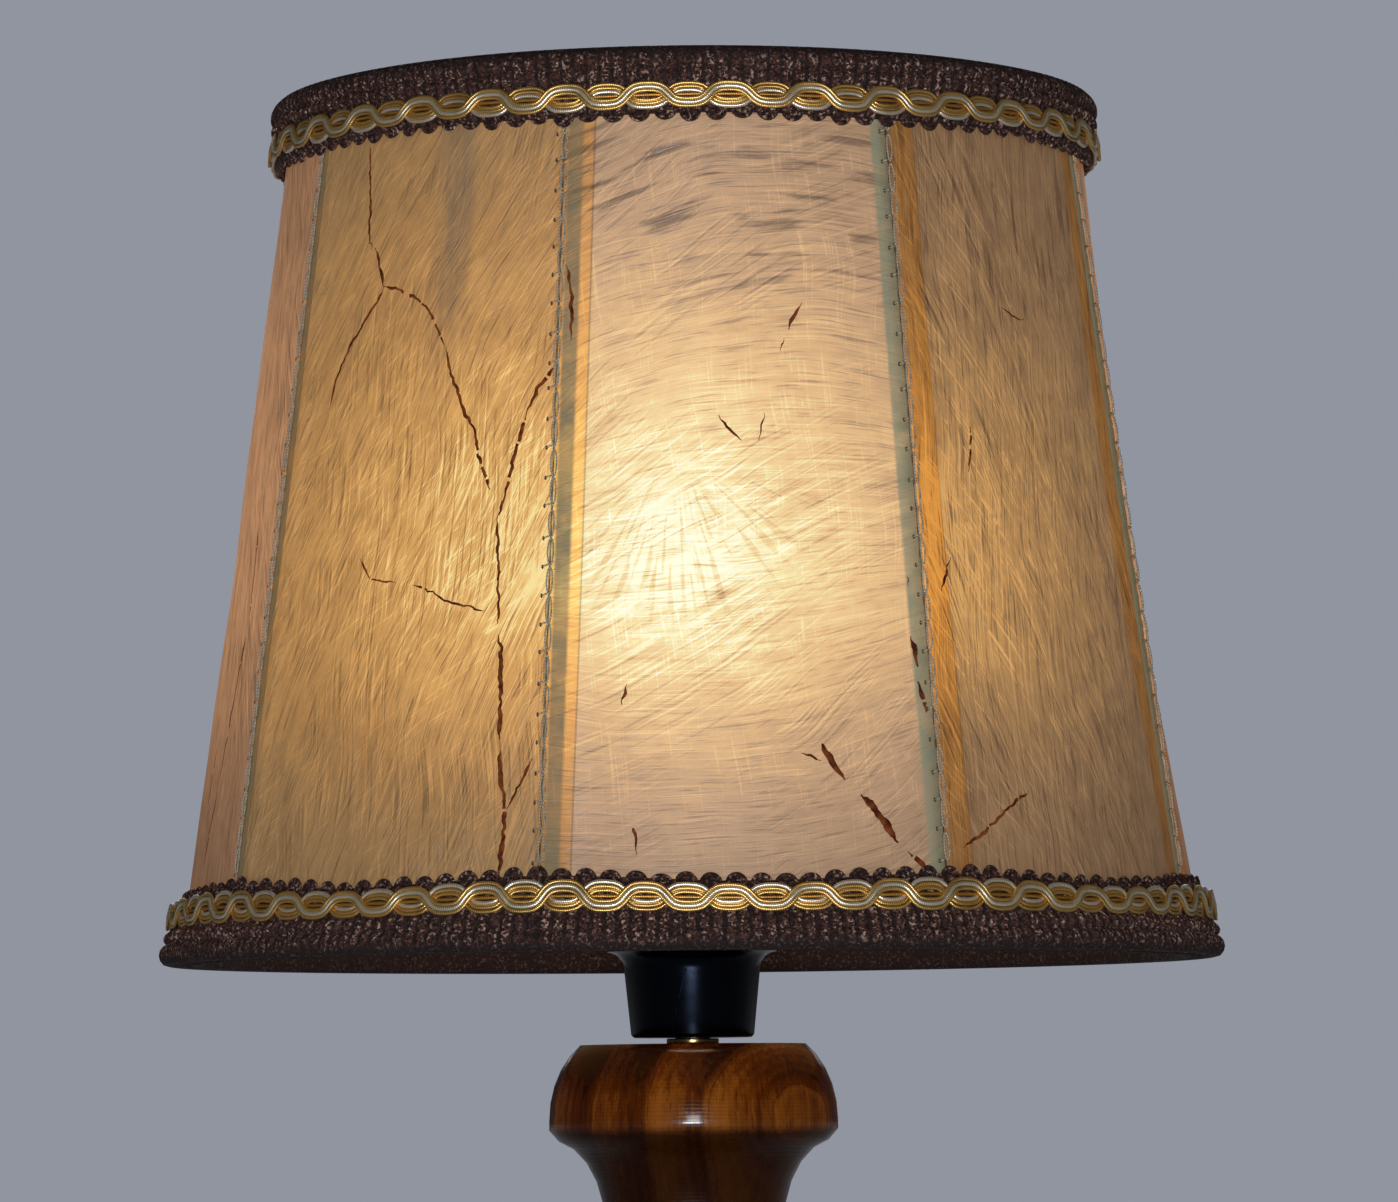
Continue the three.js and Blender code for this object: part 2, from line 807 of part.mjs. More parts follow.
/** The bulb's screw cap: an open tube that draws in at its foot. */
function bulb_screw_cap() {
  const foot = insulator_top + seat_gap;
  return turn(
    [
      [bulb_cap_radius - bulb_cap_taper - bulb_cap_wall, foot],
      [bulb_cap_radius - bulb_cap_taper, foot],
      [bulb_cap_radius, foot + bulb_cap_taper],
      [bulb_cap_radius, bulb_cap_top],
      [bulb_cap_radius - bulb_cap_wall, bulb_cap_top],
      [bulb_cap_radius - bulb_cap_wall, foot + bulb_cap_taper],
    ],
    holder_facets,
  );
}

/** The filament between its two lead wires, in one run of wire. */
function filament_wire() {
  const foot = stem_top + seat_gap;
  const path = new THREE.CatmullRomCurve3([
    new THREE.Vector3(-filament_foot_offset, 0, foot),
    new THREE.Vector3(-filament_spread, 0, filament_height),
    new THREE.Vector3(0, 0, filament_crown),
    new THREE.Vector3(filament_spread, 0, filament_height),
    new THREE.Vector3(filament_foot_offset, 0, foot),
  ]);
  const section = new THREE.Shape();
  section.absarc(0, 0, filament_radius, 0, 2 * Math.PI);
  return new THREE.ExtrudeGeometry(section, { steps: 16, curveSegments: 3, extrudePath: path });
}

const tip_gap = seat_gap + tip_thickness;
const bulb = assembly(
  holder_base + contact_plane,
  piece('bulb_contact', rod(tip_radius, 0, tip_thickness), 'steel'),
  piece(
    'bulb_insulator',
    turn(
      [
        [0, tip_gap],
        [insulator_foot_radius, tip_gap],
        [insulator_top_radius, insulator_top],
        [0, insulator_top],
      ],
      holder_facets,
    ),
    'black_plastic',
  ),
  piece('bulb_cap', bulb_screw_cap(), 'steel'),
  piece('bulb_glass', bulb_shell(), 'pearl_glass'),
  piece(
    'bulb_stem',
    turn([[0, stem_foot], [stem_radius, stem_foot], [stem_top_radius, stem_top], [0, stem_top]], small_facets),
    'pearl_glass',
  ),
  piece('filament', filament_wire(), 'steel'),
);

// Shade, from its lower rim

/** Radius of the frame's line through both rings at a height. */
function frame_radius(height) {
  const rise = (height - bottom_ring_height) / (top_ring_height - bottom_ring_height);
  return bottom_ring_radius + (top_ring_radius - bottom_ring_radius) * rise;
}

/** Radius of the skin's outer face at the struts at a height. */
function skin_radius(height) {
  return frame_radius(height) + ring_wire_radius + seat_gap + panel_thickness;
}

/** A thin closed body from a grid of places: place(u, v, depth) with depth 0 for its inner face and 1 for its outer. */
function sheet(place, columns, rows) {
  const positions = [];
  const faces = [];
  const side_size = (columns + 1) * (rows + 1);
  const at = (i, j, side) => side * side_size + j * (columns + 1) + i;
  for (const side of [0, 1]) {
    for (let j = 0; j <= rows; j++) {
      for (let i = 0; i <= columns; i++) positions.push(...place(i / columns, j / rows, side));
    }
  }
  const quad = (a, b, c, d) => faces.push(a, b, c, a, c, d);
  for (let j = 0; j < rows; j++) {
    for (let i = 0; i < columns; i++) {
      quad(at(i, j, 1), at(i + 1, j, 1), at(i + 1, j + 1, 1), at(i, j + 1, 1));
      quad(at(i, j, 0), at(i, j + 1, 0), at(i + 1, j + 1, 0), at(i + 1, j, 0));
    }
    quad(at(columns, j + 1, 1), at(columns, j, 1), at(columns, j, 0), at(columns, j + 1, 0));
    quad(at(0, j, 1), at(0, j + 1, 1), at(0, j + 1, 0), at(0, j, 0));
  }
  for (let i = 0; i < columns; i++) {
    quad(at(i + 1, 0, 1), at(i, 0, 1), at(i, 0, 0), at(i + 1, 0, 0));
    quad(at(i, rows, 1), at(i + 1, rows, 1), at(i + 1, rows, 0), at(i, rows, 0));
  }
  const geometry = new THREE.BufferGeometry();
  geometry.setAttribute('position', new THREE.Float32BufferAttribute(positions, 3));
  geometry.setIndex(faces);
  return geometry;
}

/** One skin, about +X: round at the two rings, drawn in towards flat between its struts at mid-height. */
function skin(flat_share) {
  const foot = bottom_ring_height - ring_wire_radius;
  const head = top_ring_height + ring_wire_radius;
  const place = (u, v, depth) => {
    const height = foot + (head - foot) * v;
    const strut = skin_radius(height) - panel_thickness * (1 - depth);
    const half = panel_angle / 2 - seam_gap / 2 / strut;
    const angle = half * (2 * u - 1);
    const flat = (strut * Math.cos(half)) / Math.cos(angle);
    const radius = strut + (flat - strut) * flat_share * Math.sin(Math.PI * v) ** 2;
    return [radius * Math.cos(angle), radius * Math.sin(angle), height];
  };
  return sheet(place, columns_per_panel, panel_rows);
}

/** The lower braid: a band on the skin with a rolled rim, turned in round the ring, its edge rising at each strut. */
function braid(wave) {
  const inner = bottom_ring_radius - ring_wire_radius - seat_gap;
  const outer = (height, thickness) => skin_radius(height) + seat_gap + thickness;
  const outline = [
    [inner - braid_fold, braid_fold],
    [inner, 0],
    [outer(0, rim_roll_thickness / 2), 0],
    [outer(rim_roll_height / 4, rim_roll_thickness), rim_roll_height / 4],
    [outer(rim_roll_height * (3 / 4), rim_roll_thickness), rim_roll_height * (3 / 4)],
    [outer(rim_roll_height, braid_thickness), rim_roll_height],
    [outer(braid_width * (3 / 4), braid_thickness), braid_width * (3 / 4)],
    [outer(braid_width, braid_edge_thickness), braid_width],
    [outer(braid_width, 0), braid_width],
    [outer(braid_fold, 0), braid_fold],
    [inner, braid_fold],
    [inner, bottom_ring_height],
    [inner - braid_fold, bottom_ring_height],
  ];
  return raised_at_struts(turn(outline, ring_columns), wave, rim_roll_height, braid_width);
}

/** The upper braid: the same band, hanging from the upper rim. */
function top_braid(wave) {
  const inner = top_ring_radius - ring_wire_radius - seat_gap;
  const down = (drop) => shade_height - drop;
  const outer = (drop, thickness) => [skin_radius(down(drop)) + seat_gap + thickness, down(drop)];
  const outline = [
    [inner - braid_fold, down(braid_fold)],
    [inner - braid_fold, down(bottom_ring_height)],
    [inner, down(bottom_ring_height)],
    [inner, down(braid_fold)],
    outer(braid_fold, 0),
    outer(braid_width, 0),
    outer(braid_width, braid_edge_thickness),
    outer(braid_width * (3 / 4), braid_thickness),
    outer(rim_roll_height, braid_thickness),
    outer(rim_roll_height * (3 / 4), rim_roll_thickness),
    outer(rim_roll_height / 4, rim_roll_thickness),
    outer(0, rim_roll_thickness / 2),
    [inner, shade_height],
  ];
  return raised_at_struts(turn(outline, ring_columns), wave, down(rim_roll_height), down(braid_width));
}

/** Lifts a braid's free edge at each strut, by nothing at the roll and by the whole wave at the edge. */
function raised_at_struts(geometry, wave, roll, edge) {
  const places = geometry.attributes.position;
  for (let i = 0; i < places.count; i++) {
    const angle = Math.atan2(places.getY(i), places.getX(i));
    const near_strut = (1 - Math.cos(panel_count * angle)) / 2;
    const share = THREE.MathUtils.clamp((places.getZ(i) - roll) / (edge - roll), 0, 1);
    places.setZ(i, places.getZ(i) + wave * near_strut * share);
  }
  return geometry;
}

/** A point at a radius, an angle and a height. */
function polar(radius, angle, height) {
  return new THREE.Vector3(radius * Math.cos(angle), radius * Math.sin(angle), height);
}

function frame_ring(name, radius, height) {
  const ring = piece(name, new THREE.TorusGeometry(radius, ring_wire_radius, wire_facets, ring_columns), 'painted_wire');
  ring.position.z = height;
  return ring;
}

const frame_wires = [];
const strut_foot = bottom_ring_height + ring_wire_radius + seat_gap;
const strut_head = top_ring_height - ring_wire_radius - seat_gap;
for (let i = 0; i < panel_count; i++) {
  const angle = (i + 1 / 2) * panel_angle;
  const low = polar(frame_radius(strut_foot), angle, strut_foot);
  const high = polar(frame_radius(strut_head), angle, strut_head);
  frame_wires.push(piece(`strut_${i + 1}`, wire(low, high, strut_wire_radius), 'painted_wire'));
}

const carrier_middle = holder_base + carrier_base + carrier_thickness / 2 - shade_rim_height;
const arm_landing = bottom_ring_height + ring_wire_radius + arm_wire_radius + 2 * seat_gap;
for (let i = 0; i < arm_count; i++) {
  const angle = Math.PI / 2 + (i * 2 * Math.PI) / arm_count;
  const low = polar(frame_radius(arm_landing), angle, arm_landing);
  const high = polar(carrier_radius + arm_wire_radius, angle, carrier_middle);
  frame_wires.push(piece(`spider_arm_${i + 1}`, wire(high, low, arm_wire_radius), 'painted_wire'));
}

const skins = [];
for (let i = 0; i < panel_count; i++) {
  const panel = piece(`panel_${i + 1}`, skin(panel_flat_shares[i]), 'hide');
  panel.rotation.z = -Math.PI / 2 + i * panel_angle;
  skins.push(panel);
}

const carrier = piece(
  'carrier_ring',
  tube(carrier_bore_radius, carrier_radius, -carrier_thickness / 2, carrier_thickness / 2, holder_facets),
  'painted_wire',
);
carrier.position.z = carrier_middle;

const shade = assembly(
  shade_rim_height,
  frame_ring('bottom_ring', bottom_ring_radius, bottom_ring_height),
  frame_ring('top_ring', top_ring_radius, top_ring_height),
  ...frame_wires,
  carrier,
  ...skins,
  piece('bottom_trim', braid(bottom_wave), 'braid'),
  piece('top_trim', top_braid(top_wave), 'braid'),
);

const lamp = new THREE.Group();
lamp.name = 'turned_wood_table_lamp';
lamp.add(base, lampholder, bulb, shade);

export default lamp;
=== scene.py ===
"""Dresses the turned wood table lamp.

It finishes the column, the lampholder and the bulb, and makes the shade of laced hide with its braid and
chain. Lengths are in metres. Heights are above the table, but those of the skins and of what is sewn to them
are from the shade's lower rim.
"""

import logging
import math
from collections.abc import Sequence
from dataclasses import dataclass, field
from enum import Enum

import bpy
import numpy as np
from mathutils import Matrix, Vector


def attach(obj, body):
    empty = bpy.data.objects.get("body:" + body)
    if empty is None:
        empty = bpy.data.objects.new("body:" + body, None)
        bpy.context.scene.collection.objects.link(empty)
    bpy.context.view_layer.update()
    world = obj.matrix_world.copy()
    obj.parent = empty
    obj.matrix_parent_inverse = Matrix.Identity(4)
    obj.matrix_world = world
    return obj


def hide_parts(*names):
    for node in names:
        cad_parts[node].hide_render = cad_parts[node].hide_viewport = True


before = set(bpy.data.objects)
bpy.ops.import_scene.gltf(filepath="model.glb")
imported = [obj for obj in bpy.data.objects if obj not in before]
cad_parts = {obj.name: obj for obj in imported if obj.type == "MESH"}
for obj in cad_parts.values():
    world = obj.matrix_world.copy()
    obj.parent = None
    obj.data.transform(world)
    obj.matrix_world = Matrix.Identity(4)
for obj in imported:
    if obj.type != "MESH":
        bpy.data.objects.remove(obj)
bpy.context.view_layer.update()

log = logging.getLogger("lamp")

Colour = tuple[float, float, float]
# Limits say where a change begins and where it is full, or where a band starts and ends
Limits = tuple[float, float]

MM = 0.001
TURN = 2 * math.pi


# Shader graph


@dataclass(frozen=True)
class Grain:
    """A drawn-out noise: features in a metre along each axis, finer layers, and how strong those are."""

    scale: tuple[float, float, float]
    detail: float = 2.0
    rough: float = 0.6


class Socket:
    """An output of a shader graph, or a plain number, that adds Math nodes as it is calculated with."""

    def __init__(self, graph: "Graph", source: "bpy.types.NodeSocket | float") -> None:
        """Holds an output or a number for a graph."""
        self.graph = graph
        self.source = source

    def _math(self, operation: str, *operands: "Socket | float", clamp: bool = False) -> "Socket":
        """Adds a Math node.

        Args:
            operation: What the node works out.
            operands: What it works it out from.
            clamp: Whether its result is held between 0 and 1.

        Returns:
            Its result.
        """
        settings = {"operation": operation, "use_clamp": clamp}
        return self.graph.node("ShaderNodeMath", settings, dict(enumerate(operands)))

    def __add__(self, other: "Socket | float") -> "Socket":
        """This value and the other together."""
        return self._math("ADD", self, other)

    def __radd__(self, other: float) -> "Socket":
        """A number and this value together."""
        return self._math("ADD", other, self)

    def __sub__(self, other: "Socket | float") -> "Socket":
        """This value less the other."""
        return self._math("SUBTRACT", self, other)

    def __rsub__(self, other: float) -> "Socket":
        """A number less this value."""
        return self._math("SUBTRACT", other, self)

    def __mul__(self, other: "Socket | float") -> "Socket":
        """This value times the other."""
        return self._math("MULTIPLY", self, other)

    def __rmul__(self, other: float) -> "Socket":
        """A number times this value."""
        return self._math("MULTIPLY", other, self)

    def __truediv__(self, other: "Socket | float") -> "Socket":
        """This value divided by the other."""
        return self._math("DIVIDE", self, other)

    def __pow__(self, other: "Socket | float") -> "Socket":
        """This value to the power of the other."""
        return self._math("POWER", self, other)

    def __gt__(self, other: "Socket | float") -> "Socket":
        """1 where this value is over the other, and 0 elsewhere."""
        return self._math("GREATER_THAN", self, other)

    def clamped(self) -> "Socket":
        """This value held between 0 and 1."""
        return self._math("ADD", self, 0.0, clamp=True)

    def sine(self) -> "Socket":
        """The sine of this value in radians."""
        return self._math("SINE", self)

    def fraction(self) -> "Socket":
        """What this value has after its whole number."""
        return self._math("FRACT", self)

    def bearing(self, other: "Socket") -> "Socket":
        """The angle of the point that lies this far across and the other value along."""
        return self._math("ARCTAN2", self, other)

    def rising(self, low: float, high: float) -> "Socket":
        """A smooth step.

        Args:
            low: The value at which the step is 0.
            high: The value at which it is 1. It may be the lower of the two.

        Returns:
            The step, from 0 to 1.
        """
        return self.graph.node(
            "ShaderNodeMapRange",
            {"interpolation_type": "SMOOTHSTEP"},
            {"Value": self, "From Min": low, "From Max": high},
        )


class Graph:
    """The node graph of a material, or of the world."""

    def __init__(self, name: str, owner: bpy.types.World | None = None) -> None:
        """Starts an empty graph.

        Args:
            name: The name of a new material.
            owner: The world, if the graph is its own.
        """
        self.owner = owner or bpy.data.materials.new(name)
        self.owner.use_nodes = True
        self.tree = self.owner.node_tree
        self.tree.nodes.clear()

    def node(
        self,
        kind: str,
        settings: dict[str, object] | None = None,
        inputs: dict[str | int, object] | None = None,
        output: str | int = 0,
    ) -> Socket:
        """Adds a node of any type.

        Args:
            kind: The node's type.
            settings: Its properties, set before its sockets. "ramp" holds a Color Ramp's stops.
            inputs: Values or links of its sockets, by name or place.
            output: The socket to hand back, by name or place.

        Returns:
            The chosen output.
        """
        made = self.tree.nodes.new(kind)
        for key, value in (settings or {}).items():
            if key == "ramp":
                self._set_ramp(made.color_ramp, value)
            else:
                setattr(made, key, value)
        for key, value in (inputs or {}).items():
            socket = made.inputs[key]
            source = value.source if isinstance(value, Socket) else value
            if isinstance(source, bpy.types.NodeSocket):
                self.tree.links.new(source, socket)
            elif isinstance(source, tuple) and len(source) == 3 and socket.type == "RGBA":
                socket.default_value = (*source, 1.0)
            else:
                socket.default_value = source
        return Socket(self, made.outputs[output] if made.outputs else None)

    @staticmethod
    def _set_ramp(ramp: bpy.types.ColorRamp, stops: Sequence[tuple[float, Colour]]) -> None:
        """Gives a colour ramp its stops.

        Args:
            ramp: The ramp.
            stops: Its positions, from 0 to 1, each with its colour.
        """
        while len(ramp.elements) < len(stops):
            ramp.elements.new(1.0)
        for element, (position, colour) in zip(ramp.elements, stops):
            element.position = position
            element.color = (*colour, 1.0)

    def ramp(self, factor: Socket, stops: Sequence[tuple[float, Colour]]) -> Socket:
        """A colour from a ramp."""
        return self.node("ShaderNodeValToRGB", {"ramp": stops}, {"Fac": factor})

    def blend(self, factor: Socket | float, first: object, second: object, way: str = "MIX") -> Socket:
        """A mix of two colours.

        Args:
            factor: The second colour's share.
            first: The first colour or its link.
            second: The second colour or its link.
            way: The blend type.

        Returns:
            The mixed colour.
        """
        return self.node(
            "ShaderNodeMix",
            {"data_type": "RGBA", "blend_type": way, "clamp_factor": True},
            {0: factor, 6: first, 7: second},
            output=2,
        )

    def place(self) -> Socket:
        """A point's place in metres, fixed to the object."""
        return self.node("ShaderNodeTexCoord", output="Object")

    def map_of(self, name: str) -> Socket:
        """A point's place on one of the mesh's own maps."""
        return self.node("ShaderNodeUVMap", {"uv_map": name})

    def parts(self, vector: Socket) -> tuple[Socket, Socket, Socket]:
        """A vector's three numbers."""
        first = self.node("ShaderNodeSeparateXYZ", inputs={0: vector})
        return tuple(Socket(self, number) for number in first.source.node.outputs)

    def vector(self, x: Socket, y: Socket, z: float) -> Socket:
        """A vector from three numbers."""
        return self.node("ShaderNodeCombineXYZ", inputs={0: x, 1: y, 2: z})

    def vector_math(self, operation: str, first: object, second: object) -> Socket:
        """The result of a Vector Math node."""
        return self.node("ShaderNodeVectorMath", {"operation": operation}, {0: first, 1: second})

    def shifted(self, vector: Socket, offset: Socket, amount: float) -> Socket:
        """A vector moved by a noise colour, half of it each way.

        Args:
            vector: The vector.
            offset: A colour round middle grey.
            amount: The full width of the move.

        Returns:
            The moved vector.
        """
        centred = self.vector_math("SUBTRACT", offset, (0.5, 0.5, 0.5))
        return self.vector_math("ADD", vector, self.vector_math("MULTIPLY", centred, (amount,) * 3))

    def noise(
        self, vector: Socket, scale: float, detail: float = 2.0, rough: float = 0.5, output: int = 0
    ) -> Socket:
        """A noise pattern.

        Args:
            vector: Where it is read.
            scale: Features in a metre.
            detail: How many finer layers it has.
            rough: How strong the finer layers are.
            output: 0 for its value, 1 for its colour.

        Returns:
            The pattern.
        """
        return self.node(
            "ShaderNodeTexNoise",
            {"noise_dimensions": "3D"},
            {"Vector": vector, "Scale": scale, "Detail": detail, "Roughness": rough},
            output=output,
        )

    def grain(self, vector: Socket, grain: Grain, output: int = 0) -> Socket:
        """A noise pattern that is drawn out, read at a place."""
        stretched = self.vector_math("MULTIPLY", vector, grain.scale)
        return self.noise(stretched, 1.0, grain.detail, grain.rough, output)

    def bump(self, height: Socket, depth: float, strength: float) -> Socket:
        """A normal from a height pattern, with its depth in metres."""
        named = {"Strength": strength, "Distance": depth, "Height": height}
        return self.node("ShaderNodeBump", inputs=named)

    def finish(self, **inputs: object) -> bpy.types.Material:
        """Ends the graph in a Principled shader.

        Args:
            inputs: Its sockets, with underscores for the spaces in their names.

        Returns:
            The material.
        """
        named = {key.replace("_", " "): value for key, value in inputs.items()}
        shader = self.node("ShaderNodeBsdfPrincipled", inputs=named)
        self.node("ShaderNodeOutputMaterial", inputs={"Surface": shader})
        return self.owner


# Finishes


@dataclass(frozen=True)
class VarnishedWood:
    """Side-grain hardwood, turned and varnished.

    The tree's heart lay in front of the blank and to the right. The rings bulge round a burl, so that they
    close over it in arches on the bun. The wood is darker near the heart and far out from it. Shade is
    painted darker on the bun's shoulder and in the cove, where the coat of varnish is also thinner.
    """

    name: str = "varnished_wood"
    pale: Colour = (0.370, 0.118, 0.012)
    mid: Colour = (0.124, 0.027, 0.0026)
    dark: Colour = (0.026, 0.0055, 0.001)
    # The colour of the painted shade in the cove
    cove_shade_colour: Colour = (0.009, 0.0018, 0.0006)
    heart: tuple[float, float, float] = (0.0445, -0.0475, 0.0)
    ring_pitch: float = 0.0167
    first_ring: float = 0.25
    fine_rings: float = 5.3
    burl: float = 0.262
    burl_spread: float = 0.03
    burl_bulge: float = 0.042
    near_heart: Limits = (0.034, 0.024)
    far_out: Limits = (0.055, 0.078)
    # Heights where painted shade darkens the shoulder, and where it darkens the cove
    shoulder: Limits = (0.2650, 0.2800)
    cove_head: Limits = (0.2605, 0.2570)
    cove_foot: Limits = (0.200, 0.225)
    waver: float = 0.008
    ripple: float = 0.0013
    ripples: Grain = Grain((500.0, 500.0, 160.0))
    streaks: Grain = Grain((1300.0, 1300.0, 24.0), 3.0)
    bands: Grain = Grain((330.0, 330.0, 11.0))
    clouds: Grain = Grain((46.0, 46.0, 20.0), 3.0, 0.55)
    pores: Grain = Grain((2400.0, 2400.0, 130.0))
    lathe_pitch: float = 0.0011
    depth: float = 0.00016
    gloss: float = 0.15

    def make(self) -> bpy.types.Material:
        """Builds the finish.

        Returns:
            Its material.
        """
        g = Graph(self.name)
        place = g.place()
        _, _, height = g.parts(place)
        bent = g.shifted(place, g.noise(place, 16.0, 3.0, 0.5, output=1), self.waver)
        bent = g.shifted(bent, g.grain(place, self.ripples, output=1), self.ripple)
        streaks, bands = g.grain(bent, self.streaks), g.grain(bent, self.bands)
        cloud = g.grain(place, self.clouds)
        pores = g.grain(bent, self.pores).rising(0.60, 0.70)
        tone = self._lightness(g, bent, height)
        tone = tone + (streaks - 0.5) * 0.62 + (cloud - 0.5) * 0.36 + (bands - 0.5) * 0.40
        # Painted shade in the cove, where the coat is also thinner
        cove = height.rising(*self.cove_head) * height.rising(*self.cove_foot)
        wood = g.ramp(tone, ((0.15, self.dark), (0.52, self.mid), (0.95, self.pale)))
        wood = g.blend(pores * 0.6, wood, self.dark)
        wood = g.blend(cove * 0.86, wood, self.cove_shade_colour)
        turned = (height * (TURN / self.lathe_pitch) + 5.0 * g.noise(place, 120.0, 2.0)).sine()
        worn = g.noise(place, 60.0, 4.0, 0.65)
        surface = streaks * 0.6 + turned * 0.14 - pores * 0.5
        return g.finish(
            Base_Color=g.blend((turned * 0.5 + 0.5) * 0.14, wood, self.dark),
            Roughness=self.gloss + worn * 0.14,
            Normal=g.bump(surface, self.depth, 0.5),
            Specular_IOR_Level=0.08,
            Coat_Weight=0.28 - cove * 0.24,
            Coat_Roughness=0.12,
        )

    def _lightness(self, g: Graph, bent: Socket, height: Socket) -> Socket:
        """How light the wood is, by its rings, with painted shade on the bun's shoulder.

        Args:
            g: The material's graph.
            bent: The place, moved so that the grain isn't straight.
            height: The height.

        Returns:
            The lightness, from 0 to 1.
        """
        x, y, z = g.parts(g.vector_math("SUBTRACT", bent, self.heart))
        climb = ((z - self.burl) / self.burl_spread).clamped() * self.burl_bulge
        away = (x * x + y * y + climb * climb) ** 0.5
        ring = (away / self.ring_pitch + self.first_ring).fraction()
        edge = ring.rising(0.93, 0.985) * ring.rising(1.0, 0.985)
        soft = ring.rising(0.85, 0.10) * (ring.rising(-0.02, 0.14) * 0.6 + 0.4)
        late = edge * 0.24 + soft * 0.40
        late = late + away.rising(*self.near_heart) * 0.26 + away.rising(*self.far_out) * 0.26
        # Painted shade on the bun's shoulder
        late = late + height.rising(*self.shoulder) * 0.42
        fine = ((away * (TURN * self.fine_rings / self.ring_pitch)).sine() * 0.5 + 0.5) * 0.09
        return 0.98 - late - fine


@dataclass(frozen=True)
class Moulded:
    """A moulded material, such as black resin or a ceramic, with a faint orange peel and dust."""

    name: str
    colour: Colour
    dust: Colour
    roughness: float = 0.22
    peel: float = 0.00002
    sheen: Colour = (1.0, 1.0, 1.0)
    shine: float = 0.35
    smears: Grain = Grain((60.0, 60.0, 240.0), 4.0, 0.65)

    def make(self) -> bpy.types.Material:
        """Builds the finish.

        Returns:
            Its material.
        """
        g = Graph(self.name)
        place = g.place()
        dimples = g.noise(place, 900.0, 2.0)
        smear = g.grain(place, self.smears)
        dust = g.noise(place, 2200.0, 2.0, 0.7).rising(0.66, 0.78) * smear.rising(0.35, 0.75)
        return g.finish(
            Base_Color=g.blend(dust * 0.5, self.colour, self.dust),
            Roughness=self.roughness + smear * 0.10 + dust * 0.25,
            Specular_IOR_Level=self.shine,
            Specular_Tint=(*self.sheen, 1.0),
            Normal=g.bump(dimples, self.peel, 0.6),
        )


@dataclass(frozen=True)
class Metal:
    """A metal part, brushed or drawn, with tarnish in its low places."""

    name: str
    colour: Colour
    tarnish: Colour
    roughness: float = 0.28
    tarnish_share: float = 0.35
    brushing: Grain = Grain((300.0, 300.0, 3200.0))
    depth: float = 0.00003

    def make(self) -> bpy.types.Material:
        """Builds the finish.

        Returns:
            Its material.
        """
        g = Graph(self.name)
        place = g.place()
        brushed = g.grain(place, self.brushing)
        spots = g.noise(place, 240.0, 4.0, 0.65).rising(0.50, 0.68)
        return g.finish(
            Base_Color=g.blend(spots * self.tarnish_share, self.colour, self.tarnish),
            Metallic=1.0,
            Roughness=self.roughness + brushed * 0.14 + spots * 0.18,
            Normal=g.bump(brushed, self.depth, 0.4),
        )


@dataclass(frozen=True)
class PressedFelt:
    """Pressed wool felt under the foot."""

    name: str = "felt"
    colour: Colour = (0.018, 0.030, 0.020)
    fibre: Colour = (0.060, 0.080, 0.058)
    tangle: float = 0.004
    nap: float = 0.0004

    def make(self) -> bpy.types.Material:
        """Builds the finish.

        Returns:
            Its material.
        """
        g = Graph(self.name)
        place = g.place()
        tangled = g.shifted(place, g.noise(place, 400.0, 2.0, output=1), self.tangle)
        fibres = g.noise(tangled, 1400.0, 4.0, 0.7)
        return g.finish(
            Base_Color=g.blend(fibres.rising(0.42, 0.68), self.colour, self.fibre),
            Roughness=0.95,
            Sheen_Weight=0.4,
            Normal=g.bump(fibres, self.nap, 0.7),
        )


@dataclass(frozen=True)
class PaintedWire:
    """Cream paint on steel wire, chipped here and there."""

    name: str = "painted_wire"
    paint: Colour = (0.62, 0.56, 0.44)
    rust: Colour = (0.16, 0.07, 0.03)
    paint_depth: float = 0.00008

    def make(self) -> bpy.types.Material:
        """Builds the finish.

        Returns:
            Its material.
        """
        g = Graph(self.name)
        chips = g.noise(g.place(), 520.0, 4.0, 0.7).rising(0.64, 0.70)
        return g.finish(
            Base_Color=g.blend(chips, self.paint, self.rust),
            Roughness=0.42 + chips * 0.4,
            Normal=g.bump(1.0 - chips, self.paint_depth, 0.7),
        )


@dataclass(frozen=True)
class LitGlass:
    """Pearl glass with the lamp lit behind it, brightest round the filament."""

    name: str = "pearl_glass"
    colour: Colour = (0.86, 0.84, 0.78)
    glow: tuple[tuple[float, Colour], ...] = (
        (0.0, (0.80, 0.50, 0.22)),
        (0.6, (1.0, 0.80, 0.48)),
        (1.0, (1.0, 0.92, 0.70)),
    )
    hot_height: float = 0.424
    hot_reach: float = 1 / 30
    power: float = 9.0
    ripple: float = 0.00003

    def make(self) -> bpy.types.Material:
        """Builds the finish.

        Returns:
            Its material.
        """
        g = Graph(self.name)
        place = g.place()
        _, _, height = g.parts(place)
        rise = height - self.hot_height
        near = (1.0 - (rise * rise) * (1 / self.hot_reach**2)).clamped()
        speckle = g.noise(place, 1500.0, 2.0)
        return g.finish(
            Base_Color=self.colour,
            Roughness=0.35 + speckle * 0.1,
            Emission_Color=g.ramp(near, self.glow),
            Emission_Strength=self.power,
            Normal=g.bump(speckle, self.ripple, 0.4),
        )


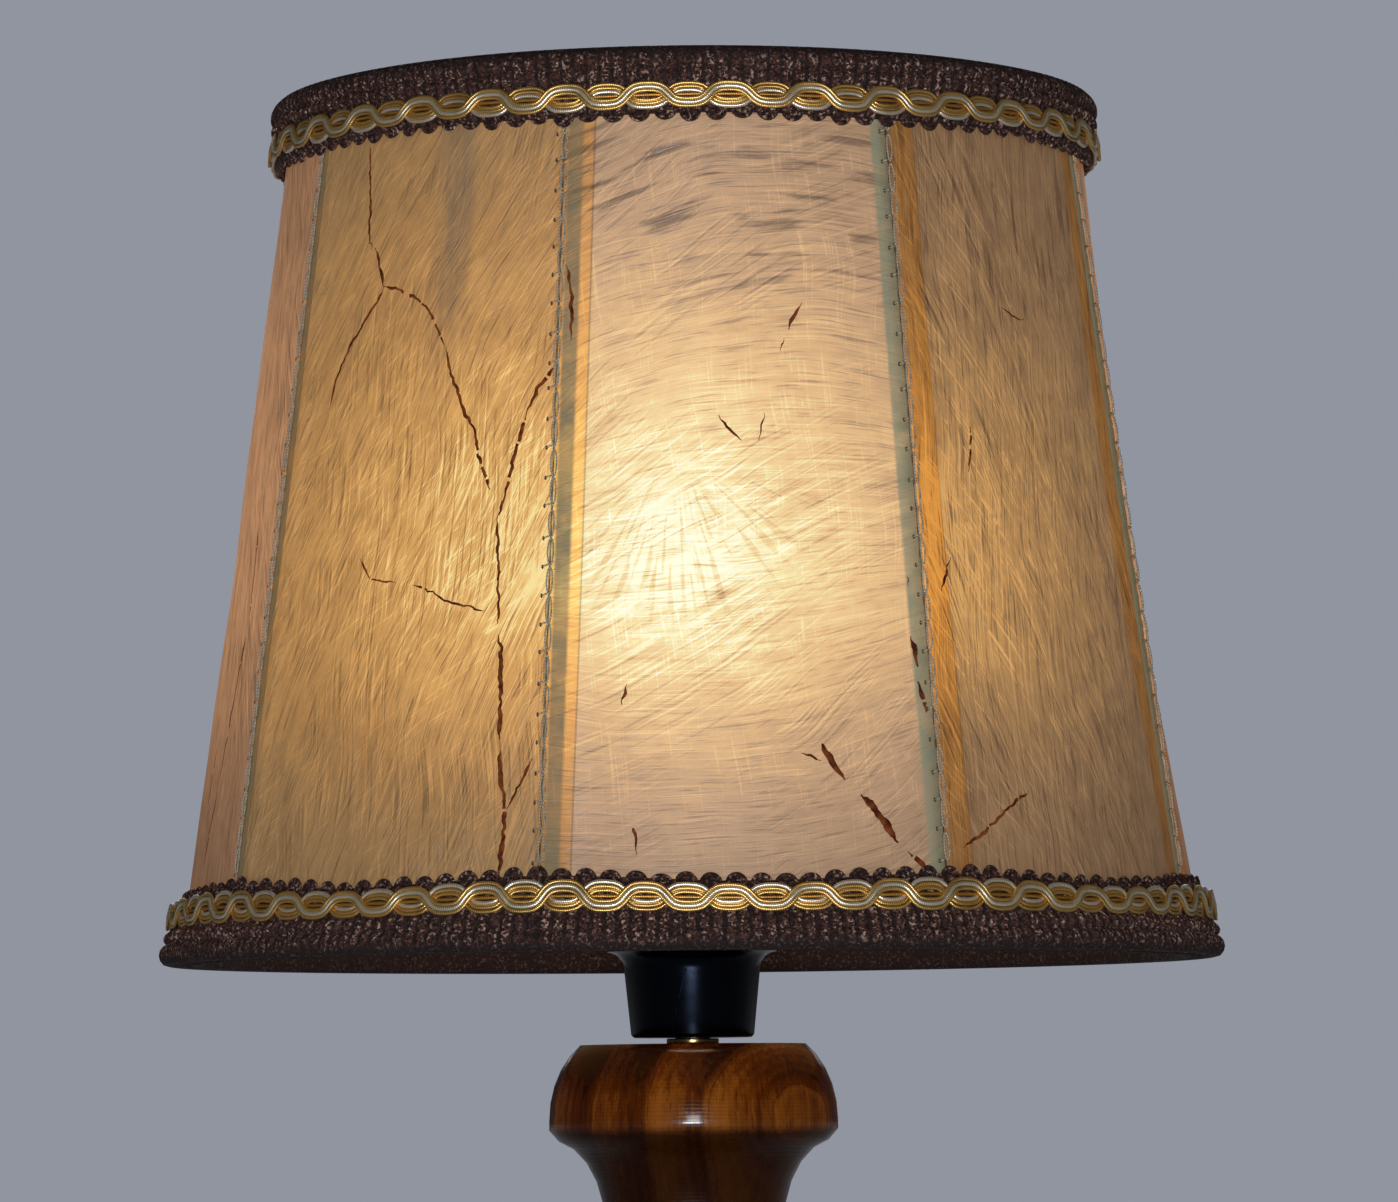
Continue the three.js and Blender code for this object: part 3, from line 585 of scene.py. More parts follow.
@dataclass(frozen=True)
class BraidYarn:
    """Dark plum-brown yarn in ribs, with many painted glints of pale light on its fibres,
    painted shade in the grooves between the ribs, and painted shade on the roll that turns under.

    Its mesh carries the map "cord", with the length along the braid and the distance up it.
    """

    name: str = "braid"
    deep: Colour = (0.014, 0.0045, 0.0036)
    yarn: Colour = (0.130, 0.048, 0.034)
    # The colour of the painted glints
    glint: Colour = (0.80, 0.54, 0.44)
    rib_pitch: float = 0.0037
    ribbed: Limits = (0.0016, 0.0036)
    # Heights up the braid below which the turned-under roll is painted in shade
    shaded_under_roll: Limits = (0.0046, 0.0010)
    tangle: float = 0.003
    depth: float = 0.0007

    def make(self) -> bpy.types.Material:
        """Builds the finish.

        Returns:
            Its material.
        """
        g = Graph(self.name)
        place = g.place()
        run, up, _ = g.parts(g.map_of("cord"))
        # Painted shade in the grooves between the ribs, which the painted glints also keep out of
        rib = (run * (math.pi / self.rib_pitch)).sine() ** 2.0
        rib = 1.0 - (1.0 - rib.rising(0.0, 0.42)) * up.rising(*self.ribbed) * 0.80
        # Painted shade on the roll that turns under, and on the fold inside the ring
        under = up.rising(*self.shaded_under_roll)
        tangled = g.shifted(place, g.noise(place, 350.0, 2.0, output=1), self.tangle)
        ply = g.noise(tangled, 950.0, 3.0, 0.75)
        patch = g.noise(place, 240.0, 3.0, 0.6)
        tone = g.blend(ply.rising(0.42, 0.60), self.deep, self.yarn)
        # Painted glints, where light catches the fibres
        glints = g.noise(place, 1050.0, 2.0, 0.6).rising(0.54, 0.64) * patch.rising(0.34, 0.58)
        lit = g.blend(glints * 0.85 * rib, tone, self.glint)
        return g.finish(
            # The deep colour serves both for the darker plies and for the painted shade
            Base_Color=g.blend((rib * 0.85 + 0.15) * (1.0 - under * 0.88), self.deep, lit),
            Roughness=0.85 - glints * 0.45,
            Specular_IOR_Level=0.25,
            Normal=g.bump(ply + patch * 0.4 + rib * 0.6, self.depth, 1.0),
        )


@dataclass(frozen=True)
class TwistedThread:
    """Thread or metal-wrapped cord. Its mesh carries a map of the length run and the way round. Shade is
    painted darker in the grooves between its plies, and worn patches take the same dark colour.
    """

    name: str
    colour: Colour
    groove_shade_and_wear: Colour
    pitch: float
    metallic: float = 0.0
    roughness: float = 0.6
    groove_depth: float = 0.00016

    def make(self) -> bpy.types.Material:
        """Builds the finish.

        Returns:
            Its material.
        """
        g = Graph(self.name)
        place = g.place()
        run, way_round, _ = g.parts(g.map_of("cord"))
        fray = g.noise(place, 900.0, 3.0, 0.6)
        ply = ((run / self.pitch + way_round) * TURN).sine() * 0.5 + 0.5
        # Painted shade in the grooves between the plies
        low = (1.0 - ply).rising(0.45, 1.0)
        worn = g.noise(place, 120.0, 3.0, 0.6)
        colour = g.blend(low * 0.85, self.colour, self.groove_shade_and_wear)
        return g.finish(
            Base_Color=g.blend(worn.rising(0.52, 0.70) * 0.45, colour, self.groove_shade_and_wear),
            Metallic=self.metallic,
            Roughness=self.roughness + fray * 0.2,
            Normal=g.bump(ply + fray * 0.35, self.groove_depth, 0.9),
        )


@dataclass(frozen=True)
class Flow:
    """Which way a skin's fibres run: they follow the lines on which a sum is even.

    The sum is across times the distance from the middle line, plus up times the height, plus the bow and the
    bend times their squares. The bow goes from its low to its high value over a stretch of the skin's height.
    """

    across: float
    up: float
    bow_low: float = 0.0
    bow_high: float = 0.0
    bend: float = 0.0
    stretch: Limits = (0.085, 0.150)

    def coordinates(self, across: Socket, rise: Socket) -> tuple[Socket, Socket]:
        """Places counted over the fibres and along them.

        Args:
            across: The distance from the skin's middle line.
            rise: The height from the rim.

        Returns:
            The place over the fibres, and the place along them.
        """
        over = across * self.across + rise * self.up
        if self.bow_low or self.bow_high:
            bow = rise.rising(*self.stretch) * (self.bow_high - self.bow_low) + self.bow_low
            over = over + across * across * bow
        if self.bend:
            over = over + rise * rise * self.bend
        return over, rise * self.across - across * self.up


@dataclass(frozen=True)
class HideTone:
    """Colours of one skin: as lit from outside, and what comes through it from dim to bright."""

    name: str
    dark: Colour
    pale: Colour
    through: tuple[tuple[float, Colour], ...]
    grain: Flow
    scratches: Flow
    contrast: float = 1.0
    scratched: float = 0.26


GOLDEN = HideTone(
    name="golden",
    dark=(0.240, 0.115, 0.036),
    pale=(0.520, 0.310, 0.125),
    through=(
        (0.00, (0.030, 0.018, 0.010)),
        (0.14, (0.100, 0.062, 0.030)),
        (0.30, (0.235, 0.112, 0.034)),
        (0.60, (0.460, 0.235, 0.064)),
        (0.80, (0.620, 0.360, 0.110)),
        (1.00, (0.730, 0.620, 0.270)),
    ),
    grain=Flow(1.0, -0.27, bend=-0.93),
    scratches=Flow(-0.55, 0.85),
    contrast=1.35,
)
PEACH = HideTone(
    name="peach",
    dark=(0.290, 0.185, 0.130),
    pale=(0.560, 0.370, 0.235),
    through=(
        (0.00, (0.030, 0.020, 0.012)),
        (0.10, (0.130, 0.078, 0.042)),
        (0.22, (0.300, 0.178, 0.092)),
        (0.36, (0.470, 0.282, 0.118)),
        (0.52, (0.630, 0.410, 0.170)),
        (0.80, (0.740, 0.660, 0.320)),
        (1.00, (0.780, 0.840, 0.640)),
    ),
    grain=Flow(-0.12, 1.0, bow_low=-2.5, bow_high=3.6),
    scratches=Flow(1.0, 0.08),
    contrast=1.05,
)
BROWN = HideTone(
    name="brown",
    dark=(0.200, 0.110, 0.054),
    pale=(0.440, 0.270, 0.140),
    through=(
        (0.00, (0.020, 0.012, 0.007)),
        (0.20, (0.090, 0.050, 0.024)),
        (0.45, (0.200, 0.106, 0.036)),
        (0.70, (0.320, 0.160, 0.046)),
        (1.00, (0.520, 0.270, 0.070)),
    ),
    grain=Flow(1.0, -0.05),
    scratches=Flow(0.86, 0.52, bow_low=4.0, bow_high=4.0),
    contrast=1.5,
    scratched=0.55,
)
ROSY = HideTone(
    name="rosy",
    dark=(0.270, 0.150, 0.088),
    pale=(0.420, 0.260, 0.160),
    through=(
        (0.00, (0.030, 0.015, 0.008)),
        (0.50, (0.200, 0.095, 0.042)),
        (1.00, (0.400, 0.190, 0.080)),
    ),
    grain=Flow(1.0, 0.04),
    scratches=Flow(1.0, -0.10),
    contrast=1.5,
)


@dataclass(frozen=True)
class PaintedGlow:
    """A painted pool of lamplight on a skin: where it is, how bright, and how far it spreads across and up.
    """

    across: float
    rise: float
    level: float
    wide: float = 0.075
    tall: float = 0.056


@dataclass(frozen=True)
class Marks:
    """Darker marks that only some skins have.

    A stain is given by its distance from the middle line, the height of its foot and its half width.
    """

    crease_fan: bool = False
    smears: float = 0.0
    stain: tuple[float, float, float] | None = None


@dataclass(frozen=True)
class TapeShadow:
    """The painted shadow of a strut's tape beside a seam: its colour with light through the skin, and on
    the skin.
    """

    through: Colour
    outside: Colour


@dataclass(frozen=True)
class Strokes:
    """A noise drawn out along a skin: features over and along it, a layer of its own, and finer layers."""

    over: float
    along: float
    layer: float = 0.0
    detail: float = 1.0
    rough: float = 0.5


LEFT_TAPE_SHADOW = TapeShadow((0.042, 0.038, 0.020), (0.200, 0.185, 0.115))
RIGHT_TAPE_SHADOW = TapeShadow((0.050, 0.056, 0.032), (0.320, 0.345, 0.250))


@dataclass(frozen=True)
class StretchedHide:
    """Scraped hide, dried on the frame, with the lamp lit behind it.

    The lamp's light through it is painted on as emission: a painted pool of light, dimmer towards the foot,
    and little of it on the inner face.

    Its mesh carries two maps. The map "hide" holds the distance from the skin's middle line and the height
    from the rim. The map "edges" holds the distances from its left and right edge, a metre more on its inner
    face.
    """

    name: str
    tone: HideTone
    glow: PaintedGlow
    seed: float
    hem_width: float
    shadow_left: Limits | None = None
    shadow_right: Limits | None = None
    marks: Marks = Marks()
    hem_right: float = 0.0
    hem_through: Colour = (1.12, 0.86, 0.44)
    hem_outside: Colour = (1.0, 0.80, 0.48)
    hem_line_through: Colour = (0.020, 0.008, 0.002)
    hem_line_outside: Colour = (0.070, 0.030, 0.014)
    hem_line: Limits = (-0.0001, 0.0003)
    hem_blur: float = 0.0002
    hem_right_blur: float = 0.0008
    stain_outside: Colour = (0.170, 0.130, 0.105)
    stain_stray: float = 0.006
    stain_fade: float = 0.035
    fan_aside: float = -0.001
    fan_rise: float = 0.021
    fan_spread: float = 0.010
    fan_foot: Limits = (0.048, 0.026)
    fan_head: Limits = (-0.004, 0.004)
    fan_eye: Limits = (0.002, 0.008)
    black: Colour = (0.0, 0.0, 0.0)
    # Heights over which the painted glow rises from a third at the foot to full
    dim_foot: Limits = (-0.01, 0.112)
    smeared: Limits = (0.150, 0.200)
    wander: float = 0.012
    broad: Strokes = Strokes(620.0, 30.0, 5.0, 3.0, 0.65)
    strokes: Strokes = Strokes(1500.0, 64.0, 0.0, 2.0, 0.6)
    fibres: Strokes = Strokes(2500.0, 34.0, 3.0)
    scratches: Strokes = Strokes(2000.0, 30.0, 7.0)
    scores: Strokes = Strokes(1500.0, 32.0, 9.0)
    smears: Strokes = Strokes(330.0, 40.0, 11.0, 2.0)
    creases: Strokes = Strokes(24.0, 50.0)
    stain_edge: Strokes = Strokes(260.0, 40.0, 0.0, 3.0, 0.6)
    patches: Strokes = Strokes(90.0, 90.0, 0.0, 3.0, 0.6)
    # The blurred width of the painted tape shadows' sides
    tape_shadow_edge: float = 0.0006
    depth: float = 0.00030

    def make(self) -> bpy.types.Material:
        """Builds the finish.

        Returns:
            Its material.
        """
        g = Graph(self.name)
        across, rise, _ = g.parts(g.map_of("hide"))
        left, right, _ = g.parts(g.map_of("edges"))
        texture, relief = self._texture(g, across, rise)
        stained = self._stain(g, across, rise)
        level = self._light(across, rise) * (1.0 + texture * self.tone.contrast) * (1.0 - stained * 0.45)
        paint = (texture * (0.75 * self.tone.contrast) + 0.50).clamped()
        through = g.ramp(level.clamped(), self.tone.through)
        outside = g.blend(paint, self.tone.dark, self.tone.pale)
        outside = g.blend(stained * 0.5, outside, self.stain_outside)

        hem = self._hem(left, right)
        through = g.blend(hem, through, g.blend(1.0, through, self.hem_through, "MULTIPLY"))
        outside = g.blend(hem, outside, g.blend(1.0, outside, self.hem_outside, "MULTIPLY"))
        patchy = self._drawn(g, self.patches, across, rise).rising(0.30, 0.70) * 0.35
        for distance, limits, tape in (
            (left, self.shadow_left, LEFT_TAPE_SHADOW),
            (right, self.shadow_right, RIGHT_TAPE_SHADOW),
        ):
            if limits is not None:
                # Painted shadows of the struts' tape beside the seams
                shadow = self._band(distance, *limits, self.tape_shadow_edge) * (1.0 - patchy)
                through = g.blend(shadow * 0.90, through, tape.through)
                outside = g.blend(shadow * 0.90, outside, tape.outside)
        line = self._band(left, *(self.hem_width + place for place in self.hem_line), self.hem_blur)
        through = g.blend(line * 0.45, through, self.hem_line_through)
        # The inner face, a metre further on the edges map, keeps little of the painted glow
        through = g.blend((left > 0.5) * 0.85, through, self.black)
        outside = g.blend(line * 0.45, outside, self.hem_line_outside)
        return g.finish(
            Base_Color=outside,
            Roughness=0.46 + texture * 0.20,
            Specular_IOR_Level=0.35,
            Emission_Color=through,
            Emission_Strength=1.0,
            Normal=g.bump(relief, self.depth, 0.5),
        )

    def _drawn(self, g: Graph, kind: Strokes, over: Socket, along: Socket) -> Socket:
        """A pattern of this skin's own, from the places over and along its strokes."""
        place = g.vector(over * kind.over, along * kind.along, self.seed + kind.layer)
        return g.noise(place, 1.0, kind.detail, kind.rough)

    def _light(self, across: Socket, rise: Socket) -> Socket:
        """How much painted lamplight comes through, dimmer towards the foot, before the skin's own texture.

        Args:
            across: The distance from the skin's middle line.
            rise: The height from the rim.

        Returns:
            The light, from 0 to 1.
        """
        # A painted pool of light, painted dimmer towards the foot
        aside, above = across - self.glow.across, rise - self.glow.rise
        spread = aside * aside * (1 / self.glow.wide**2) + above * above * (1 / self.glow.tall**2)
        return (1.0 + spread) ** -1.0 * self.glow.level * (rise.rising(*self.dim_foot) * 0.66 + 0.34)

    def _hem(self, left: Socket, right: Socket) -> Socket:
        """Where the skin is doubled along its edges.

        Args:
            left: The distance from its left edge.
            right: The distance from its right edge.

        Returns:
            1 on a hem and 0 off it.
        """
        hem = left.rising(self.hem_width + self.hem_blur, self.hem_width - self.hem_blur)
        if self.hem_right:
            blur = self.hem_right_blur
            hem = (hem + right.rising(self.hem_right + blur, self.hem_right - blur)).clamped()
        return hem

    def _texture(self, g: Graph, across: Socket, rise: Socket) -> tuple[Socket, Socket]:
        """Strokes, fibres, scratches and clouds of the scraped face.

        Args:
            g: The material's graph.
            across: The distance from the skin's middle line.
            rise: The height from the rim.

        Returns:
            The change in tone, about 0, and the relief.
        """
        place = g.vector(across, rise, self.seed)
        drift_x, drift_y, _ = g.parts(g.noise(place, 15.0, 2.0, 0.5, output=1))
        moved_x, moved_y = across + (drift_x - 0.5) * self.wander, rise + (drift_y - 0.5) * self.wander
        over, along = self.tone.grain.coordinates(moved_x, moved_y)
        cross, length = self.tone.scratches.coordinates(moved_x, moved_y)
        aslant, down = over * 0.90 + along * 0.43, along * 0.90 - over * 0.43
        cloud = g.noise(place, 30.0, 3.0, 0.6)
        mottle = g.noise(place, 150.0, 4.0, 0.65)
        broad = self._drawn(g, self.broad, over, along)
        strokes = self._drawn(g, self.strokes, over, along)
        fibres = self._drawn(g, self.fibres, over, along)
        scratches = self._drawn(g, self.scratches, cross, length)
        scored = self._drawn(g, self.scores, aslant, down)
        dark = strokes.rising(0.46, 0.33) * (cloud.rising(0.30, 0.60) * 0.8 + 0.2)
        pale = fibres.rising(0.54, 0.66)
        scratched = scratches.rising(0.58, 0.68) * mottle.rising(0.40, 0.58)
        crossed = (scored.rising(0.56, 0.70) - scored.rising(0.43, 0.31)) * cloud.rising(0.62, 0.42)
        texture = pale * 0.26 + scratched * self.tone.scratched - dark * 0.42 + (broad - 0.5) * 0.62
        texture = texture + crossed * 0.34 + (cloud - 0.5) * 0.42 + (mottle - 0.5) * 0.50 + 0.03
        if self.marks.crease_fan:
            texture = texture - self._fan(g, across, rise) * 0.22
        if self.marks.smears:
            smears = self._drawn(g, self.smears, over, along)
            texture = texture - smears.rising(0.56, 0.68) * rise.rising(*self.smeared) * self.marks.smears
        relief = pale * 0.5 + scratched * 0.4 - dark * 0.5
        return texture, relief

    def _fan(self, g: Graph, across: Socket, rise: Socket) -> Socket:
        """Fine creases that run down and apart from one point above the glow.

        Args:
            g: The material's graph.
            across: The distance from the skin's middle line.
            rise: The height from the rim.

        Returns:
            1 in a crease and 0 outside it.
        """
        aside = across - (self.glow.across + self.fan_aside)
        below = (self.glow.rise + self.fan_rise) - rise
        turn = aside.bearing(below + self.fan_spread)
        reach = (aside * aside + below * below) ** 0.5
        lines = self._drawn(g, self.creases, turn, reach).rising(0.47, 0.38)
        ends = reach.rising(*self.fan_foot) * below.rising(*self.fan_head) * reach.rising(*self.fan_eye)
        return lines * ends

    def _stain(self, g: Graph, across: Socket, rise: Socket) -> Socket:
        """A grey upright stain with a blurred edge, which fades towards its foot.

        Args:
            g: The material's graph.
            across: The distance from the skin's middle line.
            rise: The height from the rim.

        Returns:
            How stained the skin is, from 0 to 1.
        """
        if self.marks.stain is None:
            return Socket(g, 0.0)
        middle, foot, half = self.marks.stain
        ragged = self._drawn(g, self.stain_edge, across, rise)
        aside = across - middle + (ragged - 0.5) * self.stain_stray
        near = 1.0 - aside * aside * (1 / half**2)
        faded = rise.rising(foot, foot + self.stain_fade)
        return near.clamped() * faded * (ragged.rising(0.3, 0.6) * 0.5 + 0.5)

    @staticmethod
    def _band(distance: Socket, start: float, end: float, soft: float) -> Socket:
        """A stripe between two distances from an edge.

        Args:
            distance: The distance from the edge.
            start: Where the stripe begins.
            end: Where it ends.
            soft: The width of its blurred sides.

        Returns:
            1 in the stripe and 0 outside it.
        """
        return distance.rising(start - soft, start + soft) * distance.rising(end + soft, end - soft)


@dataclass(frozen=True)
class VeinTint:
    """The dark to rusty brown of a vein in the hide, through which a little light comes."""

    name: str = "vein"
    dark: Colour = (0.055, 0.010, 0.003)
    rusty: Colour = (0.150, 0.036, 0.009)
    dark_through: Colour = (0.020, 0.003, 0.001)
    rusty_through: Colour = (0.085, 0.024, 0.006)
    depth: float = 0.0002

    def make(self) -> bpy.types.Material:
        """Builds the finish.

        Returns:
            Its material.
        """
        g = Graph(self.name)
        tint = g.noise(g.place(), 330.0, 3.0)
        share = tint.rising(0.35, 0.65)
        return g.finish(
            Base_Color=g.blend(share, self.dark, self.rusty),
            Roughness=0.70,
            Specular_IOR_Level=0.05,
            Emission_Color=g.blend(share, self.dark_through, self.rusty_through),
            Emission_Strength=1.0,
            Normal=g.bump(tint, self.depth, 0.5),
        )


@dataclass(frozen=True)
class HoleEdge:
    """The dark mouth of a hole in the hide, lighter in patches."""

    name: str = "lace_hole"
    deep: Colour = (0.010, 0.003, 0.002)
    worn: Colour = (0.060, 0.022, 0.012)

    def make(self) -> bpy.types.Material:
        """Builds the finish.

        Returns:
            Its material.
        """
        g = Graph(self.name)
        patches = g.noise(g.place(), 2500.0, 2.0)
        return g.finish(Base_Color=g.blend(patches, self.deep, self.worn), Roughness=0.8)


# Mesh building


def stacked(*parts: np.ndarray | float) -> np.ndarray:
    """Numbers side by side on a new last axis, each spread to their common shape."""
    return np.stack(np.broadcast_arrays(*parts), -1)


def round_turn(count: int) -> np.ndarray:
    """Even angles round a whole turn."""
    return np.linspace(0, TURN, count, endpoint=False)


def polar(angle: np.ndarray | float, radius: np.ndarray | float, height: np.ndarray | float) -> np.ndarray:
    """Points by their angle and radius about the lamp's axis and their height."""
    return stacked(radius * np.cos(angle), radius * np.sin(angle), height)


def radial(points: np.ndarray) -> np.ndarray:
    """The outward direction, level with the table, at each point."""
    flat = points * (1.0, 1.0, 0.0)
    return flat / np.linalg.norm(flat, axis=-1, keepdims=True)


def run_along(path: np.ndarray) -> np.ndarray:
    """The length of a path up to each of its points."""
    return np.concatenate([[0], np.cumsum(np.linalg.norm(np.diff(path, axis=0), axis=1))])


@dataclass
class Draft:
    """Points, faces and map places of one piece, gathered before its mesh is made."""

    points: list[np.ndarray] = field(default_factory=list)
    faces: list[tuple[int, ...]] = field(default_factory=list)
    maps: dict[str, list[np.ndarray]] = field(default_factory=dict)
    count: int = 0
    cord_sides: int = 6

    def net(
        self,
        rows: np.ndarray,
        around: bool = False,
        along: bool = False,
        capped: bool = False,
        maps: dict[str, np.ndarray] | None = None,
    ) -> None:
        """Adds a net of quads.

        Args:
            rows: Its points, as an array of rows by columns by 3.
            around: Whether each row closes on itself.
            along: Whether the last row joins the first.
            capped: Whether the first and last row are closed with a face.
            maps: Places on named maps, as arrays of rows by columns by 2.
        """
        n, m = rows.shape[:2]
        base = self.count
        self.points.append(rows.reshape(-1, 3))
        for name, places in (maps or {}).items():
            self.maps.setdefault(name, []).append(places.reshape(-1, 2))
        self.count += n * m
        for j in range(n if along else n - 1):
            for i in range(m if around else m - 1):
                a, b = base + j * m, base + ((j + 1) % n) * m
                k = (i + 1) % m
                self.faces.append((a + i, a + k, b + k, b + i))
        if capped:
            self.faces.append(tuple(base + i for i in reversed(range(m))))
            self.faces.append(tuple(base + (n - 1) * m + i for i in range(m)))

    def cord(
        self, path: np.ndarray, radius: float | np.ndarray, closed: bool = False, flatness: float = 1.0
    ) -> None:
        """Adds a round or flattened cord along a path on the shade or the lampholder.

        Args:
            path: Points along its middle.
            radius: Its half width, along the whole path or at each point.
            closed: Whether the path is a loop.
            flatness: Its thickness, away from the lamp's axis, as a share of its width.
        """
        if closed:
            ahead, behind = np.roll(path, -1, 0), np.roll(path, 1, 0)
        else:
            ahead = np.vstack([path[1:], 2 * path[-1] - path[-2]])
            behind = np.vstack([2 * path[0] - path[1], path[:-1]])
        way = ahead - behind
        way /= np.linalg.norm(way, axis=1, keepdims=True)
        side = np.cross(way, radial(path))
        side /= np.linalg.norm(side, axis=1, keepdims=True)
        out = np.cross(side, way)
        width = np.broadcast_to(np.asarray(radius, float), (len(path),))[:, None, None]
        turn = round_turn(self.cord_sides)[None, :, None]
        ring = np.cos(turn) * side[:, None] + np.sin(turn) * flatness * out[:, None]
        shares = np.linspace(0, 1, self.cord_sides, endpoint=False)
        maps = {"cord": stacked(run_along(path)[:, None], shares[None])}
        self.net(path[:, None] + ring * width, around=True, along=closed, capped=not closed, maps=maps)

    def piece(self, name: str, material: bpy.types.Material, slot: str, body: str) -> bpy.types.Object:
        """Makes the object.

        Args:
            name: The piece's name.
            material: Its material.
            slot: The record's material slot. It is not used.
            body: The body that it rides on.

        Returns:
            The object.
        """
        mesh = bpy.data.meshes.new(name)
        mesh.from_pydata(np.vstack(self.points).tolist(), [], self.faces)
        corners = np.empty(len(mesh.loops), int)
        mesh.loops.foreach_get("vertex_index", corners)
        for map_name, parts in self.maps.items():
            places = np.vstack(parts)
            layer = mesh.uv_layers.new(name=map_name)
            layer.data.foreach_set("uv", places[corners].ravel())
        mesh.polygons.foreach_set("use_smooth", [True] * len(mesh.polygons))
        mesh.materials.append(material)
        mesh.validate()
        mesh.update()
        made = bpy.data.objects.new(name, mesh)
        bpy.context.scene.collection.objects.link(made)
        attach(made, body)
        log.info("%s: %d faces on %s", name, len(mesh.polygons), body)
        return made


def smooth_by_angle(limit: float) -> bpy.types.NodeTree:
    """Makes a modifier group that shades smooth.

    Args:
        limit: Edges sharper than this many degrees stay sharp.

    Returns:
        The group.
    """
    tree = bpy.data.node_groups.new(f"smooth_under_{limit:.0f}", "GeometryNodeTree")
    for direction in ("INPUT", "OUTPUT"):
        tree.interface.new_socket("Geometry", in_out=direction, socket_type="NodeSocketGeometry")
    start, end = tree.nodes.new("NodeGroupInput"), tree.nodes.new("NodeGroupOutput")
    faces = tree.nodes.new("GeometryNodeSetShadeSmooth")
    faces.domain = "FACE"
    edges = tree.nodes.new("GeometryNodeSetShadeSmooth")
    edges.domain = "EDGE"
    edges.inputs["Shade Smooth"].default_value = False
    angle = tree.nodes.new("GeometryNodeInputMeshEdgeAngle")
    sharp = tree.nodes.new("FunctionNodeCompare")
    sharp.data_type, sharp.operation = "FLOAT", "GREATER_THAN"
    sharp.inputs[1].default_value = math.radians(limit)
    link = tree.links.new
    link(start.outputs[0], faces.inputs["Geometry"])
    link(faces.outputs[0], edges.inputs["Geometry"])
    link(angle.outputs["Unsigned Angle"], sharp.inputs[0])
    link(sharp.outputs[0], edges.inputs["Selection"])
    link(edges.outputs[0], end.inputs[0])
    return tree


@dataclass
class FrameDresser:
    """Gives carried-over nodes their finish, with welded points, eased edges and smooth shading."""

    groups: dict[float, bpy.types.NodeTree] = field(default_factory=dict)
    weld: float = 1e-6

    def dress(
        self, names: Sequence[str], material: bpy.types.Material, ease: float = 0.0, limit: float = 35.0
    ) -> None:
        """Dresses nodes.

        Args:
            names: The nodes.
            material: Their material.
            ease: The width of the bevel on sharp edges, or 0 for none.
            limit: Edges sharper than this many degrees stay sharp.
        """
        for name in names:
            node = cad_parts[name]
            node.material_slots[0].material = material
            weld = node.modifiers.new("welded", "WELD")
            weld.merge_threshold = self.weld
            if ease:
                bevel = node.modifiers.new("eased_edges", "BEVEL")
                bevel.limit_method = "ANGLE"
                bevel.angle_limit = math.radians(limit)
                bevel.width = ease
                bevel.segments = 2
            if limit not in self.groups:
                self.groups[limit] = smooth_by_angle(limit)
            node.modifiers.new("smoothed", "NODES").node_group = self.groups[limit]
            log.info("%s: %s", name, material.name)


# The shade's own form


